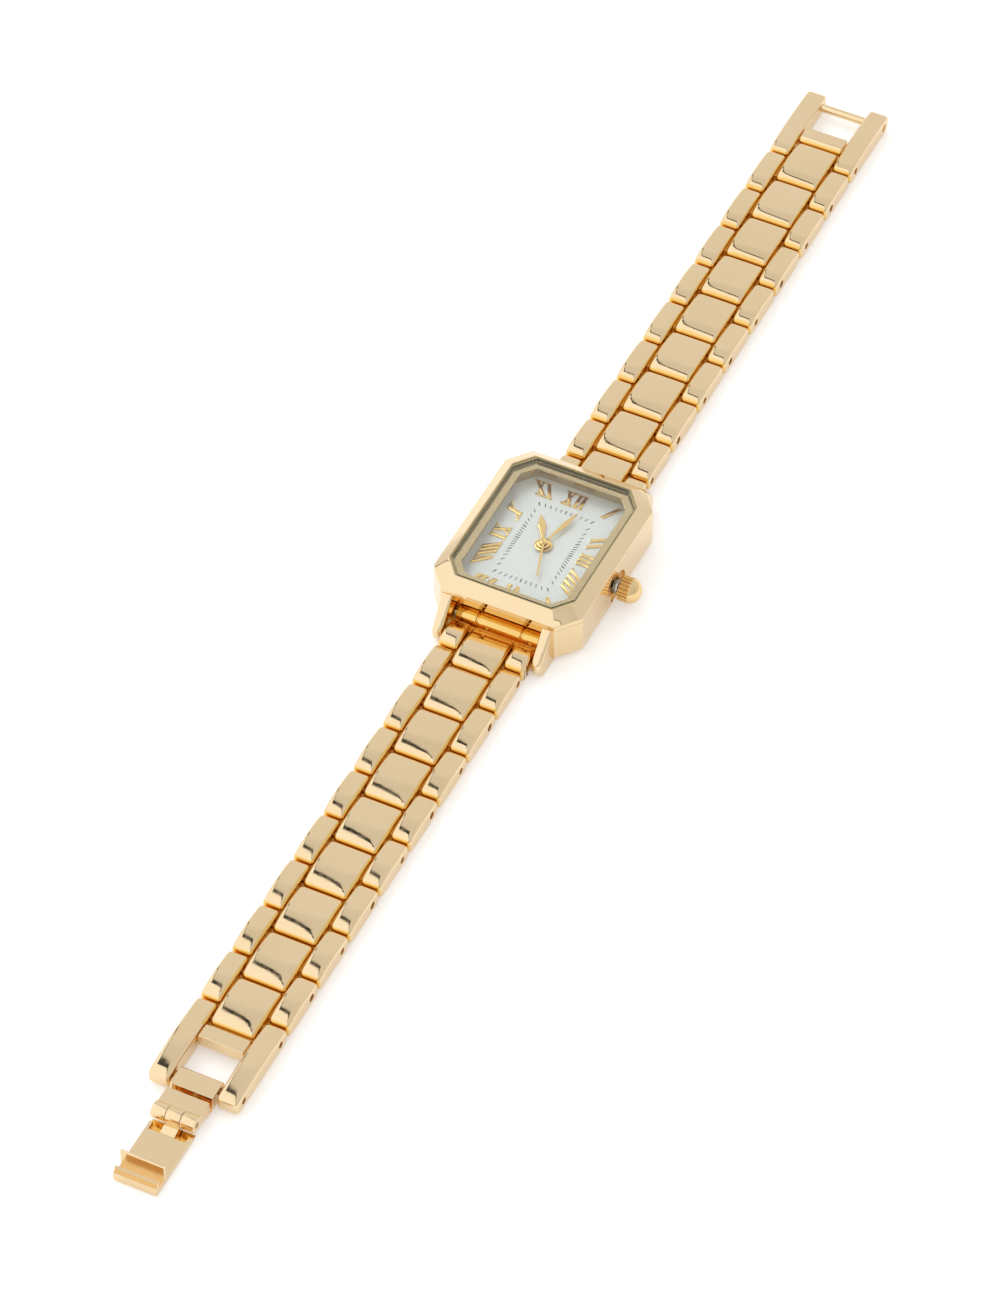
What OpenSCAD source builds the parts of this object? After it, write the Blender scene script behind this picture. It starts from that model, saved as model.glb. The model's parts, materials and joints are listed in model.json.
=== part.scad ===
// Rectangular quartz dress watch with a linked bracelet and a fold-over clasp, all sizes in millimetres.
// The origin is the middle of the case back's flat underside: +X towards the crown, +Y towards twelve
// o'clock, +Z up through the dial. The watch lies flat with the bracelet opened out straight.

/* [Case] */
// Width of the case across the bezel
case_w = 18.2; // [17.6:0.1:18.8]
// Length of the case across the bezel, without the lugs
case_l = 23.2; // [22.6:0.1:24]
// How far the cut corners of the bezel run along its width
corner_x = 2.2; // [1.8:0.1:2.6]
// How far the cut corners of the bezel run along its length
corner_y = 2.65; // [2.2:0.1:3]
// Height of the seam between case and bezel
case_top_z = 5.2; // [5.1:0.1:5.6]
// Underside of the case body above the table
case_under_z = 0.45; // [0.4:0.05:0.6]
// Height of the bevel along the foot of the case sides
foot_bevel_h = 0.6; // [0.3:0.1:0.9]
// How far that bevel leans in
foot_bevel_in = 0.3; // [0.1:0.1:0.5]
// Half width of the cavity that holds the movement
cavity_x = 6.9; // [6.8:0.1:7]
// Half length of the cavity that holds the movement
cavity_y = 8.6; // [8.5:0.1:8.8]

/* [Lugs] */
// Thickness of one lug
lug_t = 1.2; // [1:0.1:1.3]
// Reach of the lug tips from the middle of the case
lug_reach = 14.75; // [14.4:0.1:15]
// Radius of the rounded lug tips
lug_tip_r = 1.4; // [1.3:0.05:1.5]
// Height of the lug's underside above the table
lug_under_z = 0.15; // [0.1:0.05:0.25]
// Play between a lug and the side of the bracelet
lug_play = 0.2; // [0.1:0.05:0.3]
// Distance of the spring bars from the middle of the case
bar_y = 10.4; // [10.4:0.05:10.6]
// Radius of the spring bar's body
bar_r = 0.7; // [0.6:0.05:0.75]
// Radius of the spring bar's tips
bar_tip_r = 0.4; // [0.3:0.05:0.45]
// Depth of the holes for the spring bar's tips
bar_hole = 0.85; // [0.7:0.05:0.95]

/* [Bezel and crystal] */
// Half width of the bezel's opening
glass_x = 7.66; // [7.5:0.05:7.8]
// Half length of the bezel's opening
glass_y = 10.05; // [9.9:0.05:10.2]
// Run of the opening's cut corners along its width
glass_cut_x = 1.8; // [1.6:0.1:2]
// Run of the opening's cut corners along its length
glass_cut_y = 2.2; // [1.9:0.1:2.4]
// Height of the bezel's inner edge
bezel_top_z = 6.84; // [6.7:0.02:7]
// Height of the bezel's outer edge
bezel_edge_z = 5.85; // [5.7:0.05:6]
// Thickness of the crystal
crystal_t = 0.7; // [0.6:0.05:0.8]
// How far the crystal's top stands over the bezel
crystal_proud = 0.03; // [0:0.01:0.1]
// Thickness of the gasket round and under the crystal
gasket_t = 0.18; // [0.12:0.02:0.22]
// Width of the gasket's flat lip under the crystal
gasket_lip = 0.3; // [0.26:0.02:0.4]

/* [Dial and hands] */
// Height of the dial's face
dial_z = 4.2; // [4.15:0.05:4.3]
// Thickness of the dial plate
dial_t = 0.35; // [0.25:0.05:0.4]
// Half width of the dial plate
dial_x = 7.25; // [7.2:0.05:7.3]
// Half length of the dial plate
dial_y = 9.65; // [9.6:0.05:9.7]
// Half width between the walls of the flange ring
flange_x = 7.05; // [6.95:0.05:7.15]
// Half length between the walls of the flange ring
flange_y = 9.45; // [9.35:0.05:9.55]
// Half width of the opening in the flange ring's flat rim under the crystal
rim_x = 6.45; // [6.35:0.05:6.55]
// Half length of the opening in that rim
rim_y = 8.9; // [8.8:0.05:9]
// Run of that opening's cut corners along its width
rim_cut_x = 1.3; // [1.1:0.1:1.5]
// Run of that opening's cut corners along its length
rim_cut_y = 1.5; // [1.3:0.1:1.7]
// Thickness of the rim
rim_t = 0.2; // [0.15:0.05:0.3]
// Inner edge of the numerals beside the dial's middle
numeral_in_x = 4.3; // [4.2:0.05:4.4]
// Outer edge of the numerals beside the dial's middle
numeral_out_x = 6.15; // [6.05:0.05:6.25]
// Inner edge of the numerals above and below the middle
numeral_in_y = 6.75; // [6.65:0.05:6.85]
// Outer edge of the numerals above and below the middle
numeral_out_y = 8.8; // [8.7:0.05:8.9]
// Thickness of the applied numerals
numeral_t = 0.14; // [0.1:0.02:0.2]
// Width of a thick numeral stroke
stroke_w = 0.38; // [0.32:0.02:0.44]
// Width of a thin numeral stroke and of the serifs
thin_w = 0.15; // [0.12:0.01:0.18]
// Width of the letters X and V between the middles of their strokes' ends
letter_w = 0.8; // [0.7:0.05:0.9]
// Distance between the middles of two neighbouring upright strokes
letter_step = 0.62; // [0.58:0.02:0.68]
// Length of the hour hand
hour_len = 4.5; // [4.2:0.05:4.7]
// Widest part of the hour hand
hour_w = 0.95; // [0.85:0.05:1.1]
// Length of the minute hand
minute_len = 5.9; // [5.6:0.1:6.2]
// Widest part of the minute hand
minute_w = 0.65; // [0.55:0.05:0.75]
// Length of the seconds hand
seconds_len = 5.2; // [4.9:0.1:5.5]
// Radius of the hour hand's hub ring
hub_r = 1; // [0.95:0.05:1.05]
// Thickness of the hands
hand_t = 0.12; // [0.1:0.01:0.14]
// Direction of the hour hand, clockwise from twelve
hour_angle = 331; // [0:1:359]
// Direction of the minute hand, clockwise from twelve
minute_angle = 12; // [0:1:359]
// Direction of the seconds hand, clockwise from twelve
seconds_angle = 162; // [0:1:359]

/* [Crown] */
// Height of the crown's axis
crown_z = 2.4; // [2.4:0.05:2.6]
// Radius of the crown's barrel over its flutes
crown_r = 1.47; // [1.35:0.04:1.55]
// Length of the fluted barrel
barrel_l = 1.35; // [1.2:0.05:1.5]
// Height of the crown's domed end
dome_h = 1.1; // [0.9:0.05:1.3]
// Number of flutes on the crown
flutes = 20; // [16:1:24]
// Gap between the case's side and the crown's inner face, as pulled out
crown_gap = 0.5; // [0.4:0.05:0.7]
// How far the crown pushes in
crown_travel = 0.8; // [0.6:0.05:0.9]
// Depth of the round recess in the case behind the crown
scoop_d = 0.65; // [0.6:0.05:0.7]
// Radius of that recess
scoop_r = 1.9; // [1.8:0.02:1.94]
// Outer radius of the tube that the stem passes through
tube_r = 0.9; // [0.8:0.05:1]
// Radius of the stem
stem_r = 0.42; // [0.38:0.02:0.46]

/* [Movement] */
// Half width of the movement plate
plate_x = 6.3; // [6.1:0.05:6.4]
// Half length of the movement plate
plate_y = 7.9; // [7.8:0.05:8]
// Underside of the movement plate
plate_under_z = 1.5; // [1.4:0.05:1.6]
// Radius of the battery
battery_r = 2.9; // [2.8:0.05:3]
// Height of the battery
battery_h = 1.6; // [1.4:0.05:1.65]
// Radius of the coil
coil_r = 0.8; // [0.7:0.05:0.9]
// Length of the coil
coil_l = 7.6; // [7:0.1:8]
// Thickness of the case back's rim
back_t = 0.45; // [0.4:0.05:0.5]

/* [Bracelet] */
// Length of one link from pin to pin
link_pitch = 7; // [6.6:0.1:7.3]
// Width of the centre pads
centre_w = 5.24; // [5:0.04:5.4]
// Width of each outer pad
outer_w = 2.52; // [2.4:0.04:2.6]
// Thickness of the links
pad_t = 2.4; // [2.3:0.05:2.5]
// Height of the bracelet's underside above the table
bracelet_z = 0.2; // [0.2:0.05:0.3]
// How much the top of each pad swells in its middle
pad_rise = 0.25; // [0.1:0.05:0.35]
// Rounding of the pads' ends
pad_r = 0.8; // [0.78:0.02:0.88]
// Gap between the ends of neighbouring pads
seam = 0.14; // [0.12:0.02:0.2]
// Slit between a centre pad and the outer pads beside it
slit = 0.1; // [0.08:0.02:0.14]
// First seam of the centre pads, from the middle of the case
first_seam = 18.2; // [18:0.1:18.4]
// How far the outer pads stand ahead of the centre pad of the same link
fork_lead = 2.8; // [2.6:0.1:3]
// The same lead on the shorter first link
first_lead = 2.1; // [2:0.1:2.3]
// Distance of each pin from the far end of the centre pad it passes through
pin_back = 1.1; // [1:0.05:1.2]
// Radius of the link pins
pin_r = 0.4; // [0.35:0.01:0.44]
// Running clearance of pins in the pads that turn on them
pin_play = 0.05; // [0.03:0.01:0.07]
// How far the ends of the pins lie below the bracelet's sides
pin_recess = 0.15; // [0.05:0.05:0.25]

/* [Clasp] */
// Length of the cross plate that closes an end frame behind its pin
cross_l = 2.3; // [2.1:0.1:2.5]
// Distance of the frame pin and catch bar from the first pin of their frame
frame_span = 8.2; // [8:0.1:8.4]
// Length of the frame's arms beyond that pin
frame_tip = 1.5; // [1.4:0.05:1.6]
// Radius of the catch bar
catch_r = 0.5; // [0.45:0.05:0.55]
// Thickness of the cross plate
cross_t = 1.5; // [1.4:0.05:1.6]
// How far the cross plate's flat top lies below the highest line of the pads
cross_sink = 0.2; // [0.15:0.05:0.3]
// Play between the clasp's plates and the frame on each side
clasp_play = 0.12; // [0.08:0.02:0.16]
// Distance from the frame pin to the hinge between the two folding plates
fold_l = 5.1; // [4.9:0.05:5.3]
// Height of the fold plate's block over the table
block_top_z = 2.1; // [2:0.05:2.2]
// How far the block reaches behind the frame pin
block_back = 0.95; // [0.85:0.05:1.05]
// How far the block's top reaches ahead of the frame pin
block_front = 1.7; // [1.6:0.05:1.8]
// Width of the slot between the block and the plate
slot_w = 0.45; // [0.35:0.05:0.55]
// Width of the notch in the middle of the slot
notch_w = 0.5; // [0.4:0.05:0.6]
// Distance from that hinge to the hooking groove
latch_l = 7.75; // [7.6:0.05:7.9]
// Height of the hooking ridge over the latch plate
hook_h = 2.1; // [1.9:0.05:2.3]
// Thickness of the hooking ridge
hook_t = 0.35; // [0.3:0.05:0.45]
// Height of the low ridge at the latch plate's end over the plate
lip_h = 0.9; // [0.8:0.05:1]
// Length of the low ridge's top, and of the step ahead of it
lip_t = 0.33; // [0.25:0.02:0.41]
// Width of the strap that wraps the hinge pin in the middle
strap_w = 1.65; // [1.5:0.05:1.8]
// Width of each pocket beside that strap
pocket_w = 1.3; // [1.2:0.05:1.4]
// Length of the pockets
pocket_l = 1; // [0.8:0.05:1.1]
// Thickness of the pockets' floor
pocket_floor = 0.25; // [0.2:0.05:0.35]
// Thickness of the folding plates
plate_t = 0.7; // [0.6:0.05:0.75]
// Outer radius of the hinge knuckles
knuckle_r = 0.9; // [0.8:0.05:0.95]
// Radius of the hinge pin
hinge_pin_r = 0.35; // [0.3:0.01:0.4]

/* [Hidden] */
// Fineness of the round faces
round_fn = 48;
$fn = round_fn;
// A length longer than any cut that it makes
past = 40;
// Working clearance between pieces that are assembled and don't move
fit = 0.03;
// Running clearance between pieces that move past each other
run = 0.06;

half_w = case_w / 2;
half_l = case_l / 2;
// Height of every hinge of the bracelet
hinge_z = bracelet_z + pad_t / 2;
pad_top_z = bracelet_z + pad_t;
half_bracelet = centre_w / 2 + slit + outer_w;
lug_in = half_bracelet + lug_play;
lug_out = lug_in + lug_t;
// The links bar barrel of the end link and the recess that it turns in
barrel_r = pad_t / 2 - 0.05;
recess_r = barrel_r + 0.3;
lip_z = case_top_z - 0.7;
// Half length of the case back's rim
back_y = cavity_y + 0.3;

flange_top_z = bezel_top_z + crystal_proud - crystal_t - gasket_t;
crystal_z = flange_top_z + gasket_t;
wall_x = glass_x - fit;
wall_y = glass_y - fit;

plate_top_z = dial_z - dial_t - 0.05;
tube_in_x = cavity_x - 0.3;
crown_x = half_w + crown_gap;
cap_x = crown_x + barrel_l;
cap_r = crown_r + 0.03;
// Radius of the sphere that the dome is cut from
dome_r = (cap_r * cap_r + dome_h * dome_h) / (2 * dome_h);
scoop_x = half_w - scoop_d;
tube_end_x = crown_x - 0.25;
crown_bore_l = crown_travel + 0.2;
stem_in_x = 3.2;
neck_x = stem_in_x + 0.5;
neck_l = 0.6;
neck_r = stem_r - 0.18;
lever_t = neck_l - 2 * run;

// Stack of wheels and hands on the dial's middle
seconds_r = 0.14;
minute_r = 0.42;
hour_r = 0.75;
wheel_t = 0.25;
seconds_wheel_z = plate_under_z + 1.2;
minute_wheel_z = seconds_wheel_z + 0.35;
hour_wheel_z = minute_wheel_z + 0.45;
train_r = 2.2;
hour_hand_z = dial_z + numeral_t + 0.06;
minute_hand_z = hour_hand_z + hand_t + 0.16;
seconds_hand_z = minute_hand_z + hand_t + 0.16;
battery_y = -plate_y + battery_r + 0.2;
battery_z = plate_under_z + 0.05;
coil_y = plate_y - 2.3;
coil_z = plate_under_z + 0.3 + coil_r;

// Places along one half of the bracelet, from the middle of the case
LINKS = 8;
function seam_at(k) = first_seam + (k - 1) * link_pitch;
function pin_at(k) = seam_at(k) - pin_back;
function lead_of(k) = k == 1 ? first_lead : fork_lead;
// Point where the line from p runs over the top of the circle round c
function tangent_point(p, c, r) =
    let (d = norm(c - p), a = atan2(c.y - p.y, c.x - p.x) + asin(r / d), l = sqrt(d * d - r * r))
    p + l * [cos(a), sin(a)];
end_pad_s = bar_y + barrel_r + 0.45;
frame_pin_s = pin_at(LINKS + 1) + frame_span;
frame_end_s = frame_pin_s + frame_tip;
cross_top_z = pad_top_z - cross_sink;
hinge_s = frame_pin_s + fold_l;
clasp_w = centre_w - 2 * clasp_play;
plate_z = bracelet_z + 0.15;
plate_top = plate_z + plate_t;
latch_z = bracelet_z - 0.05;
latch_top = latch_z + plate_t;
// The hinge stands high enough for the latch plate to fold over the fold plate's block
knuckle_z = (block_top_z + 0.35 + latch_top) / 2;
// The plate runs flat from the slot to the foot of the ramp that climbs over the knuckles
slot_s = frame_pin_s + block_front + 0.15;
ramp_s = slot_s + slot_w + 0.4;
ramp_foot = [ramp_s, plate_top];
ramp_head = tangent_point(ramp_foot, [hinge_s, knuckle_z], knuckle_r);
ramp_slope = (ramp_head.y - ramp_foot.y) / (ramp_head.x - ramp_foot.x);
ramp_end_s = hinge_s - knuckle_r - run;
latch_s = hinge_s + knuckle_r + 2 * run;
groove_s = hinge_s + latch_l;
// Half width of the hooking groove, which takes the catch bar
groove_half = catch_r + run / 2;

SIDES = ["12", "6"];

GOLD = "#E3CDA0";
DEEP_GOLD = "#D8B878";
PALE_DIAL = "#E9EBE8";
STEEL = "#B9BBBD";

// Flat outlines

module cut_corner_2d(hx, hy, cx, cy) {
    polygon([[hx, hy - cy], [hx - cx, hy], [cx - hx, hy], [-hx, hy - cy],
             [-hx, cy - hy], [cx - hx, -hy], [hx - cx, -hy], [hx, cy - hy]]);
}

// A plate with cut corners, from height z0 to z1
module cut_corner(hx, hy, cx, cy, z0, z1) {
    translate([0, 0, z0]) linear_extrude(z1 - z0) cut_corner_2d(hx, hy, cx, cy);
}

// Draws a side view, given as distance from the case and height, as a solid from x0 to x1
module across(x0, x1) {
    translate([x0, 0, 0]) rotate([90, 0, 90]) linear_extrude(x1 - x0) children();
}

// A round bar along the width, at distance s from the case and height z
module bar(x0, x1, s, z, r) {
    translate([x0, s, z]) rotate([0, 90, 0]) cylinder(h = x1 - x0, r = r);
}

module side_square(s0, s1, z0, z1) {
    translate([s0, z0]) square([s1 - s0, z1 - z0]);
}

module side_disc(s, z, r) {
    translate([s, z]) circle(r);
}

// Side view of one pad: round ends, a flat underside and a top that swells in its middle
module pad_2d(s0, s1, z0, z1, rise) {
    half = (s1 - s0) / 2;
    mid = s0 + half;
    arc_r = (half * half + rise * rise) / (2 * rise);
    arc_z = z1 - arc_r;
    // Middles of the top corner arcs, where they run smoothly into the swelling
    corner_z = arc_z + sqrt(pow(arc_r - pad_r, 2) - pow(half - pad_r, 2));
    reach = (half - pad_r) * arc_r / (arc_r - pad_r);
    side_square(s0, s1, z0 + pad_r, corner_z);
    side_square(s0 + pad_r, s1 - pad_r, z0, corner_z);
    for (s = [s0 + pad_r, s1 - pad_r]) {
        side_disc(s, z0 + pad_r, pad_r);
        side_disc(s, corner_z, pad_r);
    }
    intersection() {
        translate([mid, arc_z]) circle(arc_r, $fn = 720);
        side_square(mid - reach, mid + reach, z0 + pad_r, z1);
    }
}

module pad(x0, x1, s0, s1) {
    across(x0, x1) pad_2d(s0, s1, bracelet_z, pad_top_z, pad_rise);
}

// Turns a piece made for the twelve o'clock half round to its own half
module on_side(side) {
    if (side == "12") {
        children();
    } else {
        mirror([0, 1, 0]) children();
    }
}

// Case

module lug_2d() {
    tip_s = lug_reach - lug_tip_r;
    tip_z = lug_under_z + lug_tip_r;
    slant = lug_tip_r / sqrt(2);
    top_s = tip_s + slant - (case_top_z - tip_z - slant);
    side_disc(tip_s, tip_z, lug_tip_r);
    // The underside stays above the case back's rim and then steps down to the table
    polygon([[cavity_y, case_under_z], [back_y + 0.1, case_under_z], [back_y + 0.4, lug_under_z],
             [tip_s, lug_under_z], [tip_s, tip_z], [tip_s + slant, tip_z + slant],
             [top_s, case_top_z], [cavity_y, case_top_z]]);
}

// Side view of the space between the lugs that the end link turns in
module recess_2d() {
    side_disc(bar_y, hinge_z, recess_r);
    polygon([[bar_y, -1], [bar_y - recess_r, -1], [bar_y - recess_r, hinge_z],
             [bar_y - recess_r / sqrt(2), hinge_z + recess_r / sqrt(2)],
             [half_l - 0.1, lip_z], [half_l + past, lip_z], [half_l + past, -1]]);
}

module case_shell() {
    foot_z = case_under_z + foot_bevel_h;
    cut_corner(half_w, half_l, corner_x, corner_y, foot_z, case_top_z);
    hull() {
        cut_corner(half_w, half_l, corner_x, corner_y, foot_z, foot_z + 0.01);
        cut_corner(half_w - foot_bevel_in, half_l - foot_bevel_in, corner_x, corner_y,
                   case_under_z, case_under_z + 0.01);
    }
    for (side = SIDES) {
        on_side(side) {
            across(lug_in, lug_out) lug_2d();
            across(-lug_out, -lug_in) lug_2d();
        }
    }
}

module case_body() {
    color(GOLD) difference() {
        case_shell();
        for (side = SIDES) {
            on_side(side) {
                across(-lug_in, lug_in) recess_2d();
                bar(-lug_in - bar_hole, lug_in + bar_hole, bar_y, hinge_z, bar_tip_r);
            }
        }
        cut_corner(cavity_x, cavity_y, corner_x, corner_y, -1, past);
        cut_corner(dial_x + fit, dial_y + fit, glass_cut_x, glass_cut_y, dial_z - dial_t, past);
        cut_corner(wall_x + fit, wall_y + fit, glass_cut_x, glass_cut_y, dial_z, past);
        translate([scoop_x, 0, crown_z]) rotate([0, 90, 0]) cylinder(h = past, r = scoop_r);
        translate([0, 0, crown_z]) rotate([0, 90, 0]) cylinder(h = past, r = tube_r);
    }
}

module bezel() {
    color(GOLD) difference() {
        union() {
            cut_corner(half_w, half_l, corner_x, corner_y, case_top_z, bezel_edge_z);
            hull() {
                cut_corner(half_w, half_l, corner_x, corner_y, bezel_edge_z - 0.01, bezel_edge_z);
                cut_corner(glass_x + 0.12, glass_y + 0.12, glass_cut_x, glass_cut_y,
                           bezel_top_z - 0.01, bezel_top_z);
            }
        }
        cut_corner(glass_x, glass_y, glass_cut_x, glass_cut_y, 0, past);
    }
}

module crystal() {
    color("#DCE6E8", 0.35)
        cut_corner(glass_x - gasket_t, glass_y - gasket_t, glass_cut_x, glass_cut_y,
                   crystal_z, crystal_z + crystal_t);
}

// The gasket is an angle: a lip under the crystal and a thin wall round its edge
module crystal_gasket() {
    color("#5E5A3E") difference() {
        cut_corner(glass_x, glass_y, glass_cut_x, glass_cut_y, flange_top_z, bezel_top_z - 0.1);
        cut_corner(glass_x - gasket_t, glass_y - gasket_t, glass_cut_x, glass_cut_y, crystal_z, past);
        cut_corner(glass_x - gasket_lip, glass_y - gasket_lip, glass_cut_x, glass_cut_y, 0, past);
    }
}

// Polished wall between the dial and the crystal, with a flat rim that carries the gasket
module flange_ring() {
    color(GOLD) difference() {
        cut_corner(wall_x, wall_y, glass_cut_x, glass_cut_y, dial_z, flange_top_z);
        cut_corner(flange_x, flange_y, glass_cut_x, glass_cut_y, 0, flange_top_z - rim_t);
        cut_corner(rim_x, rim_y, rim_cut_x, rim_cut_y, 0, past);
    }
}

// Dial, numerals and hands

module dial() {
    color(PALE_DIAL) difference() {
        cut_corner(dial_x, dial_y, glass_cut_x, glass_cut_y, dial_z - dial_t, dial_z);
        cylinder(h = past, r = hour_r + run);
    }
}

// A numeral is drawn along the ray through its hour, with its strokes beside the ray: u is the place
// across the ray and r the distance from the dial's middle.
function ray_point(slope, u, r) = [slope * r + u, r];

// Width across a stroke's end, so that the stroke keeps its own width when it leans
function end_w(slope, w) = w * sqrt(1 + slope * slope);

module stroke(slope, u_in, u_out, w, r_in, r_out) {
    a = ray_point(slope, u_in, r_in);
    b = ray_point(slope, u_out, r_out);
    half = end_w(slope, w) / 2;
    polygon([[a.x - half, a.y], [a.x + half, a.y], [b.x + half, b.y], [b.x - half, b.y]]);
}

// A serif joins the ends of a letter's strokes along the numeral's inner or outer edge
module serif(slope, u0, u1, r_edge, inward) {
    over = end_w(slope, stroke_w) * 0.7;
    middle = slope * r_edge;
    y0 = inward > 0 ? r_edge : r_edge - thin_w;
    polygon([[middle + u0 - over, y0], [middle + u1 + over, y0],
             [middle + u1 + over, y0 + thin_w], [middle + u0 - over, y0 + thin_w]]);
}

module letter(name, slope, u, r_in, r_out) {
    half = name == "I" ? 0 : letter_w / 2;
    if (name == "I") {
        stroke(slope, u, u, stroke_w, r_in, r_out);
    }
    if (name == "X") {
        stroke(slope, u + half, u - half, stroke_w, r_in, r_out);
        stroke(slope, u - half, u + half, thin_w, r_in, r_out);
    }
    if (name == "V") {
        stroke(slope, u, u - half, stroke_w, r_in, r_out);
        stroke(slope, u + thin_w, u + half, thin_w, r_in, r_out);
    }
    if (name != "V") {
        serif(slope, u - half, u + half, r_in, 1);
    }
    serif(slope, u - half, u + half, r_out, -1);
}

// Numerals read along +X with their feet towards the middle: letters holds [name, place] pairs and the
// places are counted in letter steps from the numeral's own ray
module numeral(letters, slope, r_in, r_out) {
    for (part = letters) {
        letter(part[0], slope, part[1] * letter_step, r_in, r_out);
    }
}

// Letters of each numeral with their places, then the quarter turn and the slope of its ray
NUMERALS = [
    [[["X", -0.95], ["I", 0.75], ["I", 1.75]], 0, 0],
    [[["I", 0]], 0, 0.587],
    [[["I", -0.8], ["I", 0.8]], -90, -0.575],
    [[["I", -1.05], ["I", 0], ["I", 1.05]], -90, 0],
    [[["I", -1.95], ["I", -0.65], ["I", 0.65], ["I", 1.95]], -90, 0.725],
    [[["V", 0]], 180, -0.56],
    [[["V", -0.35], ["I", 1.2]], 180, 0],
    [[["V", -1.35], ["I", 0.45], ["I", 1.5]], 180, 0.5],
    [[["V", -1.7], ["I", -0.1], ["I", 0.9], ["I", 1.9]], 90, -0.672],
    [[["I", -1.25], ["X", 0.5]], 90, 0],
    [[["X", 0]], 90, 0.66],
    [[["X", -0.65], ["I", 1.05]], 0, -0.478]
];

module hour_markers() {
    color(DEEP_GOLD) intersection() {
        for (entry = NUMERALS) {
            upright = entry[1] == 0 || entry[1] == 180;
            translate([0, 0, dial_z]) rotate([0, 0, entry[1]]) linear_extrude(numeral_t)
                numeral(entry[0], entry[2], upright ? numeral_in_y : numeral_in_x,
                        upright ? numeral_out_y : numeral_out_x);
        }
        // The corner numerals end just short of the flange ring
        cut_corner(flange_x - 0.06, flange_y - 0.06, glass_cut_x, glass_cut_y, dial_z - 1, dial_z + 1);
    }
}

// A leaf from the middle of the dial to a pointed tip
module leaf_2d(length, width) {
    leaf_r = (length * length + width * width) / (4 * width);
    intersection() {
        translate([leaf_r - width / 2, length / 2]) circle(leaf_r, $fn = 96);
        translate([width / 2 - leaf_r, length / 2]) circle(leaf_r, $fn = 96);
    }
}

module hour_hand() {
    color(DEEP_GOLD) translate([0, 0, hour_hand_z]) rotate([0, 0, -hour_angle]) linear_extrude(hand_t)
        difference() {
            union() {
                circle(hub_r);
                leaf_2d(hour_len, hour_w);
            }
            circle(hour_r);
        }
}

module minute_hand() {
    color(DEEP_GOLD) translate([0, 0, minute_hand_z]) rotate([0, 0, -minute_angle]) linear_extrude(hand_t)
        difference() {
            union() {
                circle(hour_r);
                leaf_2d(minute_len, minute_w);
            }
            circle(minute_r);
        }
}

module seconds_hand() {
    color(DEEP_GOLD) translate([0, 0, seconds_hand_z]) rotate([0, 0, -seconds_angle]) linear_extrude(hand_t)
        difference() {
            union() {
                circle(minute_r);
                polygon([[-seconds_r, 0], [seconds_r, 0],
                         [seconds_r / 2, seconds_len], [-seconds_r / 2, seconds_len]]);
            }
            circle(seconds_r);
        }
}

// A wheel with its tube, which carries a hand
module wheel(z, r, r_in, r_tube, top_z) {
    difference() {
        union() {
            translate([0, 0, z]) cylinder(h = wheel_t, r = r);
            translate([0, 0, z]) cylinder(h = top_z - z, r = r_tube);
        }
        translate([0, 0, z - 1]) cylinder(h = past, r = r_in);
    }
}

module hour_wheel() {
    color("#C9A24A") wheel(hour_wheel_z, train_r, minute_r + run, hour_r, hour_hand_z + hand_t);
}

module cannon_pinion() {
    color("#C9A24A") wheel(minute_wheel_z, 1.5, seconds_r + run, minute_r, minute_hand_z + hand_t);
}

module seconds_arbor() {
    color("#C9A24A") {
        translate([0, 0, seconds_wheel_z]) cylinder(h = wheel_t, r = 1.1);
        translate([0, 0, seconds_wheel_z]) cylinder(h = seconds_hand_z + hand_t - seconds_wheel_z, r = seconds_r);
    }
}

// Movement

module movement_plate() {
    color(STEEL) difference() {
        cut_corner(plate_x, plate_y, corner_x, corner_y, plate_under_z, plate_top_z);
        translate([0, 0, seconds_wheel_z - run]) cylinder(h = past, r = train_r + 0.2);
        translate([0, battery_y, 0]) cylinder(h = battery_z + battery_h + 0.05, r = battery_r + 0.1);
        translate([-coil_l / 2 - 0.4, coil_y - coil_r - 0.2, 0])
            cube([coil_l + 0.8, 2 * coil_r + 0.4, coil_z + coil_r + 0.2]);
        translate([stem_in_x - crown_travel - 0.2, 0, crown_z]) rotate([0, 90, 0])
            cylinder(h = past, r = stem_r + run);
        translate([neck_x - crown_travel - 0.2, -1.15, 0])
            cube([neck_l + crown_travel + 0.4, 2.3, crown_z + 0.8]);
    }
}

module movement_ring() {
    color("#E8E4D8") difference() {
        cut_corner(cavity_x - fit, cavity_y - fit, corner_x, corner_y, case_under_z + back_t + 0.1, plate_top_z);
        cut_corner(plate_x + fit, plate_y + fit, corner_x, corner_y, plate_under_z, past);
        cut_corner(plate_x - 0.4, plate_y - 0.4, corner_x, corner_y, 0, past);
        translate([0, 0, crown_z]) rotate([0, 90, 0]) cylinder(h = past, r = tube_r + fit);
    }
}

module battery() {
    color(STEEL) {
        translate([0, battery_y, battery_z]) cylinder(h = battery_h, r = battery_r);
        translate([0, battery_y, battery_z - 0.1]) cylinder(h = battery_h, r = battery_r - 0.6);
    }
}

// A bobbin wound with fine wire, on a core with flat ends
module coil() {
    color("#B5692E") union() {
        bar(-coil_l / 2, coil_l / 2, coil_y, coil_z, coil_r - 0.1);
        bar(-coil_l / 2, 0.3 - coil_l / 2, coil_y, coil_z, coil_r);
        bar(coil_l / 2 - 0.3, coil_l / 2, coil_y, coil_z, coil_r);
    }
}

// Crown

// The lever rides in the neck of the stem and slides with it
module setting_lever() {
    color(STEEL) difference() {
        translate([neck_x + run, -1, crown_z - 0.65]) cube([lever_t, 2, 1.3]);
        translate([0, 0, crown_z]) rotate([0, 90, 0]) cylinder(h = past, r = neck_r + run);
        translate([0, -neck_r - run, crown_z - 2]) cube([past, 2 * (neck_r + run), 2]);
    }
}

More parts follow.
